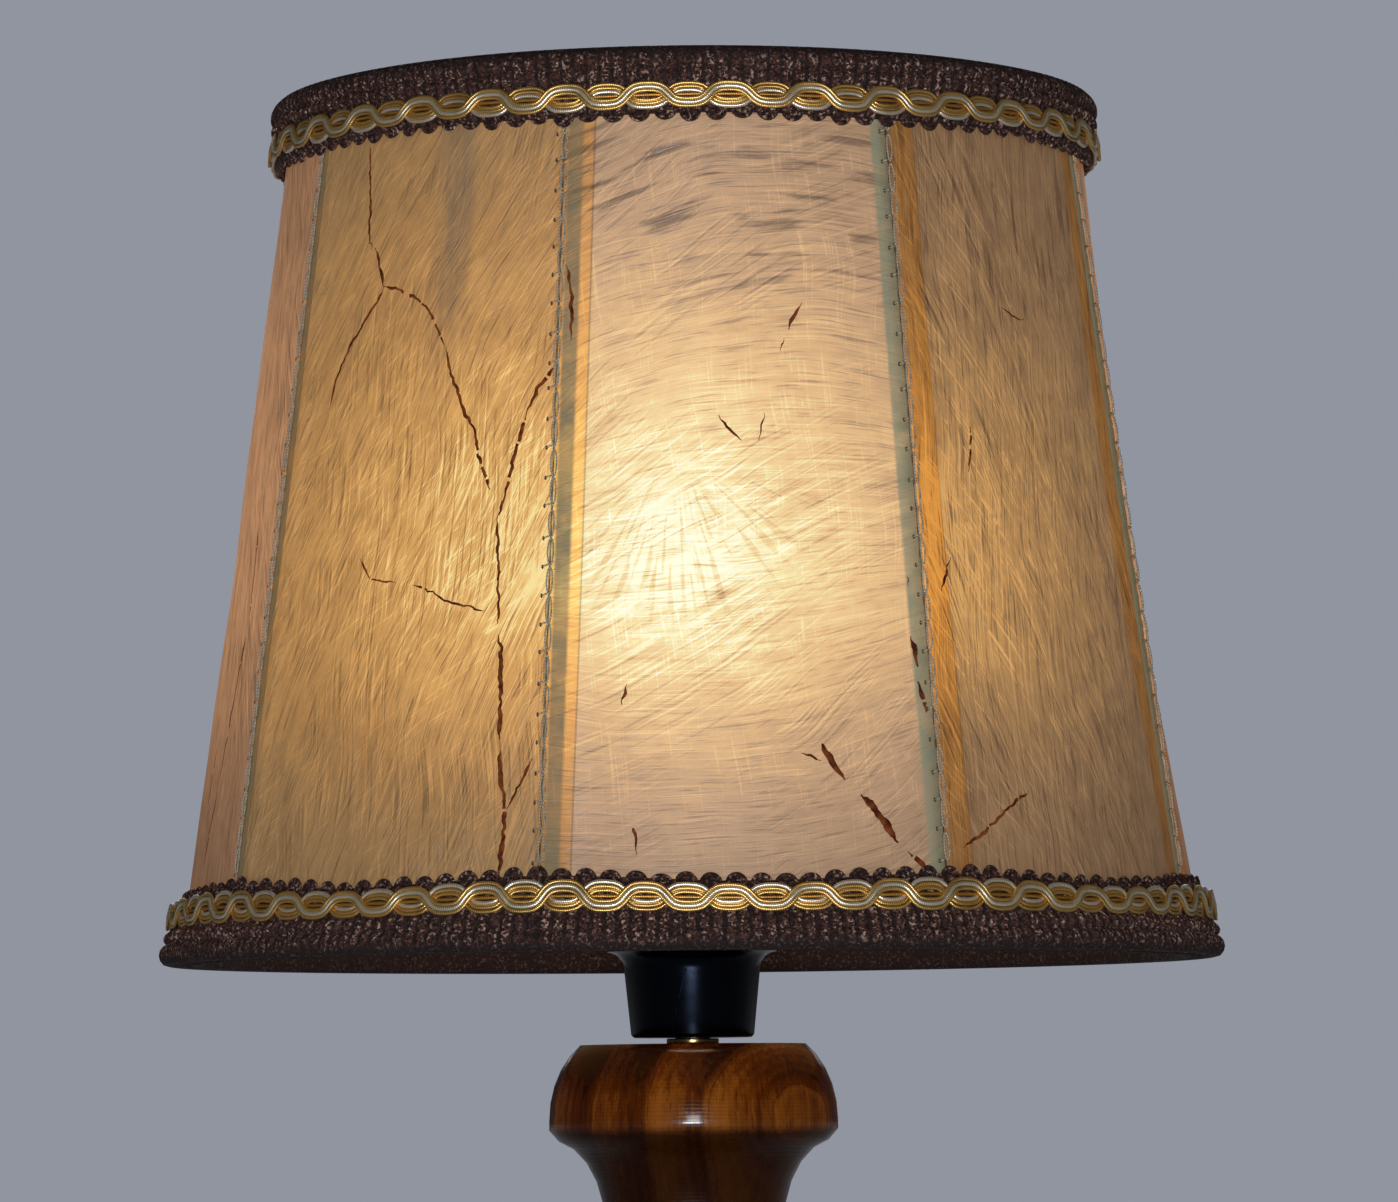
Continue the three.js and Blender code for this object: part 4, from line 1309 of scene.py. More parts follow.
@dataclass(frozen=True)
class ShadeForm:
    """The stretched skins' surface, which everything sewn to them follows. Its rim is above the table."""

    rim: float = 0.3065
    height: float = 0.247
    ring_height: float = 0.0035
    lower_ring: float = 0.143
    upper_ring: float = 0.110
    stand_off: float = 0.00285
    thickness: float = 0.0008
    flat_shares: tuple[float, ...] = (0.4, 0.4, 0.5, 0.4, 0.4, 0.4, 0.05, 0.35)
    count: int = 8
    seam_gap: float = 0.0008
    foot: float = 0.00175
    head: float = 0.24525
    hem_width: float = 0.0082
    hem_proud: float = 0.00032
    pucker: float = 0.00022
    pucker_reach: float = 0.0028
    lace_pitch: float = 0.008
    cockle: float = 0.00022
    calm_edge: float = 0.02

    @property
    def half_angle(self) -> float:
        """Half of the angle that one skin covers, in radians."""
        return math.pi / self.count

    def middle(self, index: int) -> float:
        """The angle of a skin's middle, counted from 0 at the front."""
        return -math.pi / 2 + index * 2 * self.half_angle

    def at_strut(self, height: np.ndarray) -> np.ndarray:
        """Radius of the skins' outer face at the struts."""
        share = (height - self.ring_height) / (self.height - 2 * self.ring_height)
        return self.lower_ring + (self.upper_ring - self.lower_ring) * share + self.stand_off

    def radius(self, index: int, off_middle: np.ndarray, height: np.ndarray) -> np.ndarray:
        """Radius of a skin's outer face.

        Args:
            index: The skin, from 0 at the front.
            off_middle: The angle from the skin's middle, in radians.
            height: The height from the lower rim.

        Returns:
            The radius.
        """
        strut = self.at_strut(height)
        half = self.half_angle - self.seam_gap / 2 / strut
        share = np.clip((height - self.foot) / (self.head - self.foot), 0, 1)
        flat = strut * np.cos(half) / np.cos(off_middle)
        return strut + (flat - strut) * self.flat_shares[index] * np.sin(np.pi * share) ** 2

    def point(
        self, index: int, across: np.ndarray, height: np.ndarray, proud: float | np.ndarray = 0.0
    ) -> np.ndarray:
        """Points on a skin.

        Args:
            index: The skin, from 0 at the front.
            across: Distances to the right of its middle line, along the face.
            height: Heights from the lower rim.
            proud: How far the points stand out from the face.

        Returns:
            The points, in the part's frame.
        """
        off = across / self.at_strut(height)
        return polar(self.middle(index) + off, self.radius(index, off, height) + proud, height + self.rim)

    def half_width(self, height: np.ndarray) -> np.ndarray:
        """Half of a skin's width along its face."""
        return self.at_strut(height) * self.half_angle - self.seam_gap / 2

    def relief(self, index: int, across: np.ndarray, height: np.ndarray) -> np.ndarray:
        """How far a skin's face stands out: its hem, the waves it dried in, and the pull of the lacing.

        Args:
            index: The skin, from 0 at the front.
            across: Distances to the right of its middle line.
            height: Heights from the lower rim.

        Returns:
            The distances outward.
        """
        half = self.half_width(height)
        left, right = across + half, half - across
        share = (height - self.foot) / (self.head - self.foot)
        calm = np.sin(np.pi * share) * np.clip(left / self.calm_edge, 0, 1)
        calm = calm * np.clip(right / self.calm_edge, 0, 1)
        swell = np.sin(across * 95 + index * 1.9) * np.sin(height * 61 + index * 2.3)
        swell += 0.6 * np.sin(across * 160 - height * 120 + index)
        near_lace = np.exp(-left / self.pucker_reach) + np.exp(-right / self.pucker_reach)
        pull = (0.5 + 0.5 * np.cos(TURN * height / self.lace_pitch)) * near_lace
        hem = np.where(left < self.hem_width, self.hem_proud, 0.0)
        return hem + self.cockle * swell * calm - self.pucker * pull


SHADE = ShadeForm()


# Sub-assemblies


@dataclass
class Column:
    """Felt, foot, turned column and the rod that holds them."""

    dresser: FrameDresser

    def build(self) -> None:
        """Dresses the stand below the lampholder, except its cable bush, and the lampholder's metal."""
        wood = VarnishedWood().make()
        steel = Metal("steel", (0.46, 0.46, 0.45), (0.16, 0.13, 0.10)).make()
        brass = Metal("brass", (0.72, 0.50, 0.20), (0.20, 0.12, 0.04), 0.20).make()
        self.dresser.dress(["spindle", "base_disc"], wood, limit=48.0)
        self.dresser.dress(["felt_pad"], PressedFelt().make(), ease=0.0004)
        fixings = ["threaded_rod", "bottom_washer", "bottom_nut", "grub_screw", "rocker_pin"]
        self.dresser.dress(fixings, steel, ease=0.0001)
        self.dresser.dress(["brass_ring"], brass, ease=0.0002)
        contacts = ["rocker_contact", "live_contact", "terminal_screw_1", "terminal_screw_2"]
        self.dresser.dress([*contacts, "centre_contact", "side_contact", "screw_shell"], brass)


@dataclass
class Lampholder:
    """The black lampholder with its switch, and the clamp ring.

    Its cap widens from its foot to its head. The mould line runs down its front from the head's angle to the
    foot's, both in degrees. The heights of the cap and of the line are above the lampholder's foot.
    """

    dresser: FrameDresser
    foot: float = 0.285
    cap_foot: float = 0.0008
    cap_rise: float = 0.0189
    cap_foot_radius: float = 0.0177
    cap_head_radius: float = 0.0196
    line_foot: float = 0.0012
    line_rise: float = 0.0180
    line_radius: float = 0.00014
    line_points: int = 18
    foot_angle: float = -116.0
    head_angle: float = -101.0

    def build(self) -> None:
        """Dresses the black nodes, the cable bush and the insulators, and adds the mould line on the cap."""
        black = Moulded(
            name="black_plastic",
            colour=(0.0008, 0.0009, 0.0013),
            dust=(0.02, 0.02, 0.025),
            roughness=0.12,
            sheen=(0.50, 0.62, 1.0),
            shine=0.12,
        ).make()
        ceramic = Moulded("insulator", (0.60, 0.56, 0.48), (0.30, 0.26, 0.20), 0.3).make()
        nodes = ["holder_cap", "switch_body", "holder_sleeve", "shade_ring", "push_bar", "cable_bush"]
        self.dresser.dress(nodes, black, ease=0.00035)
        self.dresser.dress(["switch_frame", "terminal_insert"], ceramic, ease=0.0002)
        self._mould_line(black)

    def _mould_line(self, material: bpy.types.Material) -> None:
        """Adds a hair-fine raised line that runs down the cap, a little aslant.

        Args:
            material: The cap's material.
        """
        share = np.linspace(0, 1, self.line_points)
        height = self.line_foot + self.line_rise * share
        taper = (height - self.cap_foot) / self.cap_rise
        radius = self.cap_foot_radius + (self.cap_head_radius - self.cap_foot_radius) * taper
        angle = np.radians(self.foot_angle + (self.head_angle - self.foot_angle) * share)
        draft = Draft()
        draft.cord(polar(angle, radius, self.foot + height), self.line_radius)
        draft.piece("cap_mould_line", material, "black_plastic", "stand")


@dataclass
class Bulb:
    """The screw-in bulb, lit."""

    dresser: FrameDresser

    def build(self) -> None:
        """Dresses the bulb's nodes."""
        glass = LitGlass().make()
        cap = Metal("bulb_metal", (0.60, 0.59, 0.56), (0.25, 0.22, 0.18), 0.25).make()
        dark = Moulded("bulb_insulator", (0.010, 0.009, 0.009), (0.12, 0.11, 0.10), 0.15).make()
        self.dresser.dress(["bulb_glass", "bulb_stem"], glass, limit=50.0)
        self.dresser.dress(["bulb_cap", "bulb_contact", "filament"], cap)
        self.dresser.dress(["bulb_insulator"], dark, ease=0.0002)


@dataclass
class ShadeWires:
    """The wire frame, with tape wound round each strut. The tape's foot and head are above the table."""

    dresser: FrameDresser
    tape_radius: float = 0.00185
    tape_ridge: float = 0.00018
    tape_pitch: float = 0.0065
    tape_sides: int = 10
    tape_rows: int = 148
    tape_foot: float = 0.3139
    tape_head: float = 0.5461
    arms: int = 3

    def build(self) -> None:
        """Dresses the wires and winds the struts."""
        wires = ["bottom_ring", "top_ring", "carrier_ring"]
        wires += [f"strut_{i + 1}" for i in range(SHADE.count)]
        wires += [f"spider_arm_{i + 1}" for i in range(self.arms)]
        self.dresser.dress(wires, PaintedWire().make(), limit=70.0)
        tape = TwistedThread(
            name="strut_binding",
            colour=(0.42, 0.40, 0.30),
            groove_shade_and_wear=(0.15, 0.14, 0.10),
            pitch=self.tape_pitch,
            roughness=0.8,
            groove_depth=0.0003,
        ).make()
        for i in range(SHADE.count):
            draft = Draft()
            self._wind(draft, (i + 0.5) * 2 * SHADE.half_angle)
            draft.piece(f"strut_binding_{i + 1}", tape, "strut_binding", "shade")

    def _wind(self, draft: Draft, angle: float) -> None:
        """Adds one strut's winding: a sleeve whose radius steps along a helix.

        Args:
            draft: The piece that it goes into.
            angle: The strut's angle about the lamp's axis, in radians.
        """
        height = np.linspace(self.tape_foot, self.tape_head, self.tape_rows)
        middle = polar(angle, SHADE.at_strut(height - SHADE.rim) - SHADE.stand_off, height)
        turn = round_turn(self.tape_sides)
        places = stacked(height[:, None], turn[None] / TURN)
        phase = (height[:, None] / self.tape_pitch + turn[None] / TURN) % 1.0
        width = self.tape_radius + self.tape_ridge * (phase - 0.5)
        out = np.array([math.cos(angle), math.sin(angle), 0.0])
        side = np.array([-math.sin(angle), math.cos(angle), 0.0])
        ring = np.cos(turn)[None, :, None] * out + np.sin(turn)[None, :, None] * side
        draft.net(middle[:, None] + ring * width[..., None], around=True, capped=True, maps={"cord": places})


@dataclass
class HidePanels:
    """The eight skins, each with a turned hem along its left edge, puckered where the lacing pulls."""

    rows: int = 92
    columns: int = 30
    hem_columns: tuple[float, ...] = (0.0, 0.0012, 0.0030, 0.0055)
    hem_step: float = 0.0002
    crowding: float = 0.93
    end_gap: float = 0.0002
    golden_hem: float = 0.0030
    brown_hem: float = 0.0125

    def finishes(self) -> list[StretchedHide]:
        """Sets out the finish of each skin.

        Returns:
            The finishes, from the front one anticlockwise seen from above.
        """
        hem = SHADE.hem_width
        # Painted shadows of the struts' tape, as distances from a skin's edges
        tape_shadow_left, tape_shadow_right, tape_shadow_hem = (0.0009, 0.0052), (-0.001, 0.0045), (0.0003, 0.0030)
        # Painted pools of lamplight on the skins
        low, high = PaintedGlow(-0.0165, 0.1055, 0.97, 0.050, 0.052), PaintedGlow(-0.052, 0.107, 0.89, 0.059, 0.057)
        bright = PaintedGlow(0.049, 0.108, 0.82, 0.076, 0.063)
        side = PaintedGlow(0.0, 0.120, 0.80, 0.11, 0.10)
        back = PaintedGlow(0.0, 0.105, 0.72)
        smeared = Marks(crease_fan=True, smears=0.60)
        stained = Marks(stain=(0.0135, 0.150, 0.0075))
        scraped = Marks(smears=0.40)
        return [
            StretchedHide("hide_front", PEACH, low, 0.11, hem, tape_shadow_left, tape_shadow_right, smeared),
            StretchedHide(
                "hide_front_right", BROWN, high, 0.23, hem, None, tape_shadow_right, scraped, self.brown_hem
            ),
            StretchedHide("hide_right", ROSY, side, 0.37, hem, None, tape_shadow_right),
            StretchedHide("hide_back_right", GOLDEN, back, 0.41, hem, None, tape_shadow_right, stained),
            StretchedHide("hide_back", PEACH, back, 0.59, hem, tape_shadow_left, tape_shadow_right, smeared),
            StretchedHide("hide_back_left", BROWN, back, 0.67, hem, tape_shadow_left, None, scraped),
            StretchedHide("hide_left", ROSY, side, 0.73, hem, tape_shadow_left, None),
            StretchedHide("hide_front_left", GOLDEN, bright, 0.89, self.golden_hem, tape_shadow_hem, None, stained),
        ]

    def build(self) -> None:
        """Builds and dresses the skins."""
        for index, finish in enumerate(self.finishes()):
            made = self._skin(index, finish)
            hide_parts(f"panel_{index + 1}")

    def _columns(self, height: np.ndarray) -> np.ndarray:
        """Places the columns of a skin's net, closer together on its hem.

        Args:
            height: The heights of its rows.

        Returns:
            Distances from the left edge, by row and column.
        """
        edge = SHADE.hem_width
        hem = np.array([*self.hem_columns, edge - self.hem_step, edge + self.hem_step])
        full = 2 * SHADE.half_width(height)
        rest = np.linspace(0, 1, self.columns - len(hem) + 1)[1:] ** self.crowding
        spread = hem[-1] + (full[:, None] - hem[-1]) * rest[None]
        return np.hstack([np.broadcast_to(hem, (len(height), len(hem))), spread])

    def _skin(self, index: int, finish: StretchedHide) -> bpy.types.Object:
        """Makes one skin as a closed sheet.

        Args:
            index: The skin, from 0 at the front.
            finish: Its finish.

        Returns:
            Its object.
        """
        height = np.linspace(SHADE.foot + self.end_gap, SHADE.head - self.end_gap, self.rows)
        from_left = self._columns(height)
        full = 2 * SHADE.half_width(height)[:, None]
        across = from_left - full / 2
        tall = np.broadcast_to(height[:, None], across.shape)
        outer = SHADE.relief(index, across, tall)
        maps = {"hide": stacked(across, tall), "edges": stacked(from_left, full - from_left)}
        draft = Draft()
        draft.net(SHADE.point(index, across, tall, outer), maps=maps)
        inner = SHADE.point(index, across, tall, -SHADE.thickness)
        maps["edges"] = maps["edges"] + 1.0
        draft.net(inner[:, ::-1], maps={key: value[:, ::-1] for key, value in maps.items()})
        self._close(draft, self.rows, from_left.shape[1])
        return draft.piece(f"skin_{index + 1}", finish.make(), "hide", "shade")

    @staticmethod
    def _close(draft: Draft, rows: int, columns: int) -> None:
        """Joins the outer and the inner net of a sheet along its rim.

        Args:
            draft: The piece that holds the two nets.
            rows: The rows of each net.
            columns: The columns of each net.
        """
        numbers = np.arange(2 * rows * columns).reshape(2, rows, columns)
        outer, inner = numbers[0].tolist(), numbers[1, :, ::-1].tolist()
        for j in range(rows - 1):
            draft.faces.append((outer[j][0], outer[j + 1][0], inner[j + 1][0], inner[j][0]))
            draft.faces.append((outer[j + 1][-1], outer[j][-1], inner[j][-1], inner[j + 1][-1]))
        for i in range(columns - 1):
            draft.faces.append((outer[0][i + 1], outer[0][i], inner[0][i], inner[0][i + 1]))
            draft.faces.append((outer[-1][i], outer[-1][i + 1], inner[-1][i + 1], inner[-1][i]))


@dataclass(frozen=True)
class Vein:
    """A dark vein or crack in a skin: places across and up the skin in millimetres, and its width."""

    skin: int
    places: tuple[tuple[float, float], ...]
    width: float = 0.75


@dataclass
class Veins:
    """The dark veins in the skins."""

    veins: tuple[Vein, ...] = ()
    step: float = 0.0008
    raggedness: float = 0.00012
    taper: float = 0.003
    tip_share: float = 0.25
    breaks: float = 0.06
    fewest: int = 3
    proud: float = 0.00005
    flatness: float = 0.16

    def build(self) -> None:
        """Lays each skin's veins on its face."""
        material = VeinTint().make()
        for skin in sorted({vein.skin for vein in self.veins}):
            draft = Draft()
            for number, vein in enumerate(v for v in self.veins if v.skin == skin):
                self._lay(draft, vein, np.random.default_rng(100 * skin + number))
            draft.piece(f"veins_{skin + 1}", material, "hide", "shade")

    def _lay(self, draft: Draft, vein: Vein, chance: np.random.Generator) -> None:
        """Adds one vein: a ragged flat strand, broken here and there.

        Args:
            draft: The piece that it goes into.
            vein: The vein.
            chance: Its own random numbers.
        """
        corners = np.array(vein.places) * MM
        run = run_along(corners)
        count = max(8, int(run[-1] / self.step))
        at = np.linspace(0, run[-1], count)
        path = np.stack([np.interp(at, run, corners[:, k]) for k in (0, 1)], -1)
        rough = chance.normal(0, 1, (count, 2))
        path[1:-1] += (rough[1:-1] + rough[:-2]) * self.raggedness
        swell = np.interp(at, np.linspace(0, run[-1], count // 4 + 2), chance.random(count // 4 + 2))
        width = vein.width * MM / 2 * (0.45 + 0.70 * swell + 0.40 * chance.random(count))
        width *= np.clip(np.minimum(at, run[-1] - at) / self.taper, self.tip_share, 1)
        ends = [0, *np.flatnonzero(chance.random(count) < self.breaks).tolist(), count]
        for first, last in zip(ends, ends[1:]):
            if last - first < self.fewest:
                continue
            part = slice(first, last)
            side, up = path[part, 0], path[part, 1]
            points = SHADE.point(vein.skin, side, up, SHADE.relief(vein.skin, side, up) + self.proud)
            draft.cord(points, width[part], flatness=self.flatness)


@dataclass
class Seams:
    """The lacing over each seam: loops of thin thread, a short stitch to each hole, and the holes."""

    first: float = 0.0242
    last: float = 0.2255
    thread_radius: float = 0.00024
    slip: float = 0.0004
    loop_half_width: float = 0.00075
    loop_half_height: float = 0.0037
    loop_aside: float = 0.00035
    loop_stray: float = 0.0003
    loop_proud: float = 0.00045
    loop_bow: float = 0.0003
    loop_points: int = 20
    stitch_rise: float = 0.0007
    stitch_bow: float = 0.0006
    stitch_sunk: float = 0.0001
    hole_radius: float = 0.00036
    hole_half_height: float = 0.0006
    hole_offset: float = -0.0019
    hole_proud: float = 0.00002
    hole_flatness: float = 0.14

    def build(self) -> None:
        """Laces the eight seams."""
        thread = TwistedThread(
            name="lacing_thread",
            colour=(0.60, 0.55, 0.43),
            groove_shade_and_wear=(0.28, 0.22, 0.15),
            pitch=0.0009,
            roughness=0.55,
            groove_depth=0.00006,
        ).make()
        dark = HoleEdge().make()
        for index in range(SHADE.count):
            draft, holes = Draft(), Draft()
            chance = np.random.default_rng(40 + index)
            for height in np.arange(self.first, self.last, SHADE.lace_pitch):
                slip = self.slip * chance.normal()
                self._loop(draft, index, height + SHADE.lace_pitch / 2 + slip, chance)
                self._stitch(draft, index, height + slip)
                self._hole(holes, index, height + slip)
            draft.piece(f"lacing_{index + 1}", thread, "lacing_thread", "shade")
            holes.piece(f"lace_holes_{index + 1}", dark, "hide", "shade")

    def _beside(
        self, index: int, aside: np.ndarray | float, height: np.ndarray, proud: np.ndarray | float
    ) -> np.ndarray:
        """Points beside the seam on the left of a skin."""
        return SHADE.point(index, aside - SHADE.half_width(height) - SHADE.seam_gap / 2, height, proud)

    def _loop(self, draft: Draft, index: int, height: float, chance: np.random.Generator) -> None:
        """Adds one thin loop of thread, a little to the right of the seam.

        Args:
            draft: The piece that it goes into.
            index: The skin on the seam's right.
            height: The height of the loop's middle.
            chance: The seam's own random numbers.
        """
        turn = round_turn(self.loop_points)
        wide = self.loop_half_width * (1 + 0.25 * (chance.random() - 0.5))
        middle = self.loop_aside + self.loop_stray * (chance.random() - 0.5)
        along = height + self.loop_half_height * np.sin(turn)
        proud = self.loop_proud + self.loop_bow * np.cos(turn) ** 2
        path = self._beside(index, middle + wide * np.cos(turn), along, proud)
        draft.cord(path, self.thread_radius, closed=True)

    def _stitch(self, draft: Draft, index: int, height: float) -> None:
        """Adds the short stitch from a hole to the seam.

        Args:
            draft: The piece that it goes into.
            index: The skin on the seam's right.
            height: The height of the hole.
        """
        share = np.linspace(0, 1, 7)
        proud = self.stitch_bow * np.sin(np.pi * share) - self.stitch_sunk
        path = self._beside(index, self.hole_offset * (1 - share), height + self.stitch_rise * share, proud)
        draft.cord(path, self.thread_radius)

    def _hole(self, draft: Draft, index: int, height: float) -> None:
        """Adds the dark mouth of a hole.

        Args:
            draft: The piece that it goes into.
            index: The skin on the seam's right.
            height: The height of the hole's middle.
        """
        share = np.linspace(-1, 1, 5)
        path = self._beside(index, self.hole_offset, height + share * self.hole_half_height, self.hole_proud)
        width = self.hole_radius * np.sqrt(np.clip(1.1 - share**2, 0.1, 1))
        draft.cord(path, width, flatness=self.hole_flatness)


class Rim(Enum):
    """Which rim a braid is on: 1 when it stands up from the lower rim, -1 when it hangs from the upper."""

    LOWER = 1
    UPPER = -1


# The band's section: the distance up, the distance beyond the skins, and how deep the ribs are there
BAND_SECTION = (
    (0.0085, 0.0004, 0.0),
    (0.0040, 0.0004, 0.0),
    (0.0016, 0.0006, 0.0),
    (0.0003, 0.0016, 0.1),
    (0.0000, 0.0032, 0.2),
    (0.0004, 0.0047, 0.3),
    (0.0016, 0.0058, 0.4),
    (0.0030, 0.0063, 0.5),
    (0.0045, 0.0062, 0.5),
    (0.0055, 0.0055, 0.4),
    (0.0061, 0.0046, 0.4),
    (0.0067, 0.0053, 1.0),
    (0.0077, 0.0057, 1.4),
    (0.0088, 0.0053, 1.4),
    (0.0098, 0.0042, 1.0),
    (0.0108, 0.0038, 0.6),
    (0.0128, 0.0037, 0.4),
    (0.0150, 0.0036, 0.4),
    (0.0170, 0.0032, 0.6),
    (0.0182, 0.0020, 0.4),
    (0.0184, 0.0004, 0.0),
)
# The section of the fold inside the ring: the distance up, and the distance beyond the ring's inner side
FOLD_SECTION = (
    (0.0000, 0.0018),
    (0.0000, 0.0000),
    (0.0014, -0.0010),
    (0.0050, -0.0010),
    (0.0075, 0.0008),
    (0.0110, 0.0026),
    (0.0118, 0.0034),
    (0.0110, 0.0036),
    (0.0075, 0.0034),
    (0.0058, 0.0004),
    (0.0048, -0.0001),
    (0.0016, 0.0000),
    (0.0012, 0.0018),
)


@dataclass
class BraidedRim:
    """A braid round one rim: ribbed band with a rolled rim, picots on its free edge, and the chain over it.

    Distances "up" are from the rim towards the middle of the shade. Each picot loop has its share of the full
    reach, its yarn's radius and how far it stands out from the skin. Each strand of the core has its share of
    the core's height and how far it stands out from the core's back.
    """

    rim: Rim
    yarn: bpy.types.Material
    gold: bpy.types.Material
    silver: bpy.types.Material
    core: bpy.types.Material
    ribs: int
    picots: int
    waves: int
    wave_rise: float
    width: float = 0.0182
    roll_height: float = 0.0095
    free_edge: float = 0.0205
    rib_depth: float = 0.00096
    rib_points: int = 6
    fold_inset: float = 0.0020
    # How much of the fold's height its map takes, so that the braid's finish paints the fold in shade
    fold_shade_share: float = 0.15
    fold_bend: float = 0.006
    picot_radius: float = 0.0027
    picot_yarn: float = 0.0005
    picot_sunk: float = 0.0006
    picot_lean: float = 0.00025
    picot_wide: float = 1.12
    picot_points: int = 11
    picot_loops: tuple[tuple[float, float, float], ...] = ((1.0, 0.00062, 0.0013), (0.55, 0.00052, 0.0015))
    pad_radius: float = 0.0009
    pad_stand: float = 0.0009
    pad_rise: float = 0.0004
    pad_bow: float = 0.0005
    chain_middle: float = 0.0138
    chain_swing: float = 0.00225
    chain_points: int = 22
    chain_stand: float = 0.0036
    chain_shape: float = 1.7
    chain_out: float = 0.004
    crossing: float = 0.0011
    over_stand: float = 0.00130
    over_dip: float = 0.00018
    under_stand: float = 0.00062
    under_dip: float = -0.00034
    core_stand: float = 0.0038
    core_pinch: float = 0.0003
    core_swing: float = 0.0013
    core_radius: float = 0.00052
    core_strands: tuple[tuple[float, float], ...] = ((-1.0, 0.0003), (0.0, 0.0005), (1.0, 0.0003))

    @property
    def label(self) -> str:
        """The rim's word for piece names."""
        return "bottom" if self.rim is Rim.LOWER else "top"

    @property
    def rib_run(self) -> float:
        """Length of braid per radian, at the ribs' own pitch."""
        return self.ribs * BraidYarn.rib_pitch / TURN

    def skin(self, up: np.ndarray | float) -> np.ndarray | float:
        """Radius of the skins at a distance up from the rim."""
        return SHADE.at_strut(up if self.rim is Rim.LOWER else SHADE.height - up)

    def lift(self, up: np.ndarray, angle: np.ndarray) -> np.ndarray:
        """How far the band's free edge stands further up near a strut.

        Args:
            up: Distances up from the rim.
            angle: Angles about the lamp's axis.

        Returns:
            The rise at each, as heights.
        """
        share = np.clip((up - self.roll_height) / (self.free_edge - self.roll_height), 0, 1)
        near_strut = (1 - np.cos(SHADE.count * angle)) / 2
        return self.rim.value * self.wave_rise * near_strut * share

    def place(self, angle: np.ndarray, up: np.ndarray, radius: np.ndarray) -> np.ndarray:
        """Points by angle, distance up from the rim, and radius."""
        rim = SHADE.rim if self.rim is Rim.LOWER else SHADE.rim + SHADE.height
        return polar(angle, radius, rim + (up * self.rim.value + self.lift(up, angle)))

    def build(self) -> None:
        """Builds the band, its picots and the chain."""
        self._band()
        self._picots()
        self._chain()

    def _band(self) -> None:
        """Makes the ribbed band, and the fold that is turned in round the ring."""
        angle = round_turn(self.ribs * self.rib_points)[None]
        up, out, depth = (np.array(part)[:, None] for part in zip(*BAND_SECTION))
        rib = np.abs(np.sin(angle * self.ribs / 2)) ** 0.8
        chance = np.random.default_rng(7 + self.ribs)
        uneven = 1 + 0.35 * (chance.random((1, self.ribs)).repeat(self.rib_points, 1) - 0.5)
        radius = self.skin(up) + out - self.rib_depth * depth * (1 - rib) * uneven
        draft = Draft()
        maps = {"cord": stacked(angle * self.rib_run, up)}
        draft.net(self.place(angle, up, radius), around=True, maps=maps)
        self._lining(draft, angle)
        made = draft.piece(f"{self.label}_braid", self.yarn, "braid", "shade")
        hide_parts(f"{self.label}_trim")

    def _lining(self, draft: Draft, angle: np.ndarray) -> None:
        """Adds the fold inside the ring as a thin closed band that lies against the skins above it.

        Args:
            draft: The piece that it goes into.
            angle: The angles of the band's columns. The fold has every other one.
        """
        ring = SHADE.lower_ring if self.rim is Rim.LOWER else SHADE.upper_ring
        up, out = (np.array(part)[:, None] for part in zip(*FOLD_SECTION))
        taper = (self.skin(up) - self.skin(0 * up)) * np.clip(up / self.fold_bend - 1, 0, 1)
        fewer = angle[:, ::2]
        # The fold's map takes only a share of its height, so that the braid's finish paints it in shade
        maps = {"cord": stacked(fewer * self.rib_run, self.fold_shade_share * up)}
        rows = self.place(fewer, up, ring - self.fold_inset + out + taper)
        draft.net(rows, around=True, along=True, maps=maps)

    def _picots(self) -> None:
        """Makes the scallops: an outer and an inner loop of yarn over a small pad."""
        draft = Draft()
        turn = np.linspace(-0.16, np.pi + 0.16, self.picot_points)
        pitch = TURN / self.picots
        base = self.width - self.picot_sunk
        skin = self.skin(base)
        chance = np.random.default_rng(self.picots)
        for number in range(self.picots):
            size = 1 + 0.10 * (chance.random() - 0.5)
            centre = (number + 0.5) * pitch + 0.04 * pitch * (chance.random() - 0.5)
            lean = self.picot_lean * chance.normal()
            for share, thick, stand in self.picot_loops:
                reach = (self.picot_radius - self.picot_yarn) * share * size
                angle = centre + np.cos(turn) * reach * self.picot_wide / skin
                up = base + np.sin(turn) * reach + lean * np.sin(turn)
                draft.cord(self.place(angle, up, self.skin(up) + stand), thick)
            angle = centre + np.linspace(-0.6, 0.6, 5) * self.picot_radius / skin
            up = base + self.pad_rise + self.pad_bow * np.cos(np.linspace(-1.2, 1.2, 5))
            draft.cord(self.place(angle, up, self.skin(up) + self.pad_stand), self.pad_radius, flatness=0.7)
        draft.piece(f"{self.label}_picots", self.yarn, "braid", "shade")

    def _wave(self, angle: np.ndarray, phase: float) -> np.ndarray:
        """The chain's rounded wave, from -1 to 1."""
        return np.tanh(self.chain_shape * np.sin(angle * self.waves + phase)) / math.tanh(self.chain_shape)

    def _chain(self) -> None:
        """Makes the chain: two waves of three cords each, one always over the other, on a flat gold core."""
        angle = round_turn(self.waves * self.chain_points)
        gold, silver = Draft(), Draft()
        # Each cord's distance from the wave's middle line in millimetres, its radius and its thread
        front = ((1.06, 0.00050, gold), (0.02, 0.00066, silver), (-1.02, 0.00052, gold))
        back = ((1.04, 0.00062, silver), (0.02, 0.00050, gold), (-0.92, 0.00050, gold))
        for cords, phase, stand, dip in (
            (front, 0.0, self.over_stand, self.over_dip),
            (back, math.pi, self.under_stand, self.under_dip),
        ):
            for offset, radius, draft in cords:
                draft.cord(self._wave_path(angle, phase, offset * MM, stand, dip), radius, closed=True)
        gold.piece(f"{self.label}_chain_gold", self.gold, "gold_thread", "shade")
        silver.piece(f"{self.label}_chain_silver", self.silver, "silver_thread", "shade")
        self._core(angle)

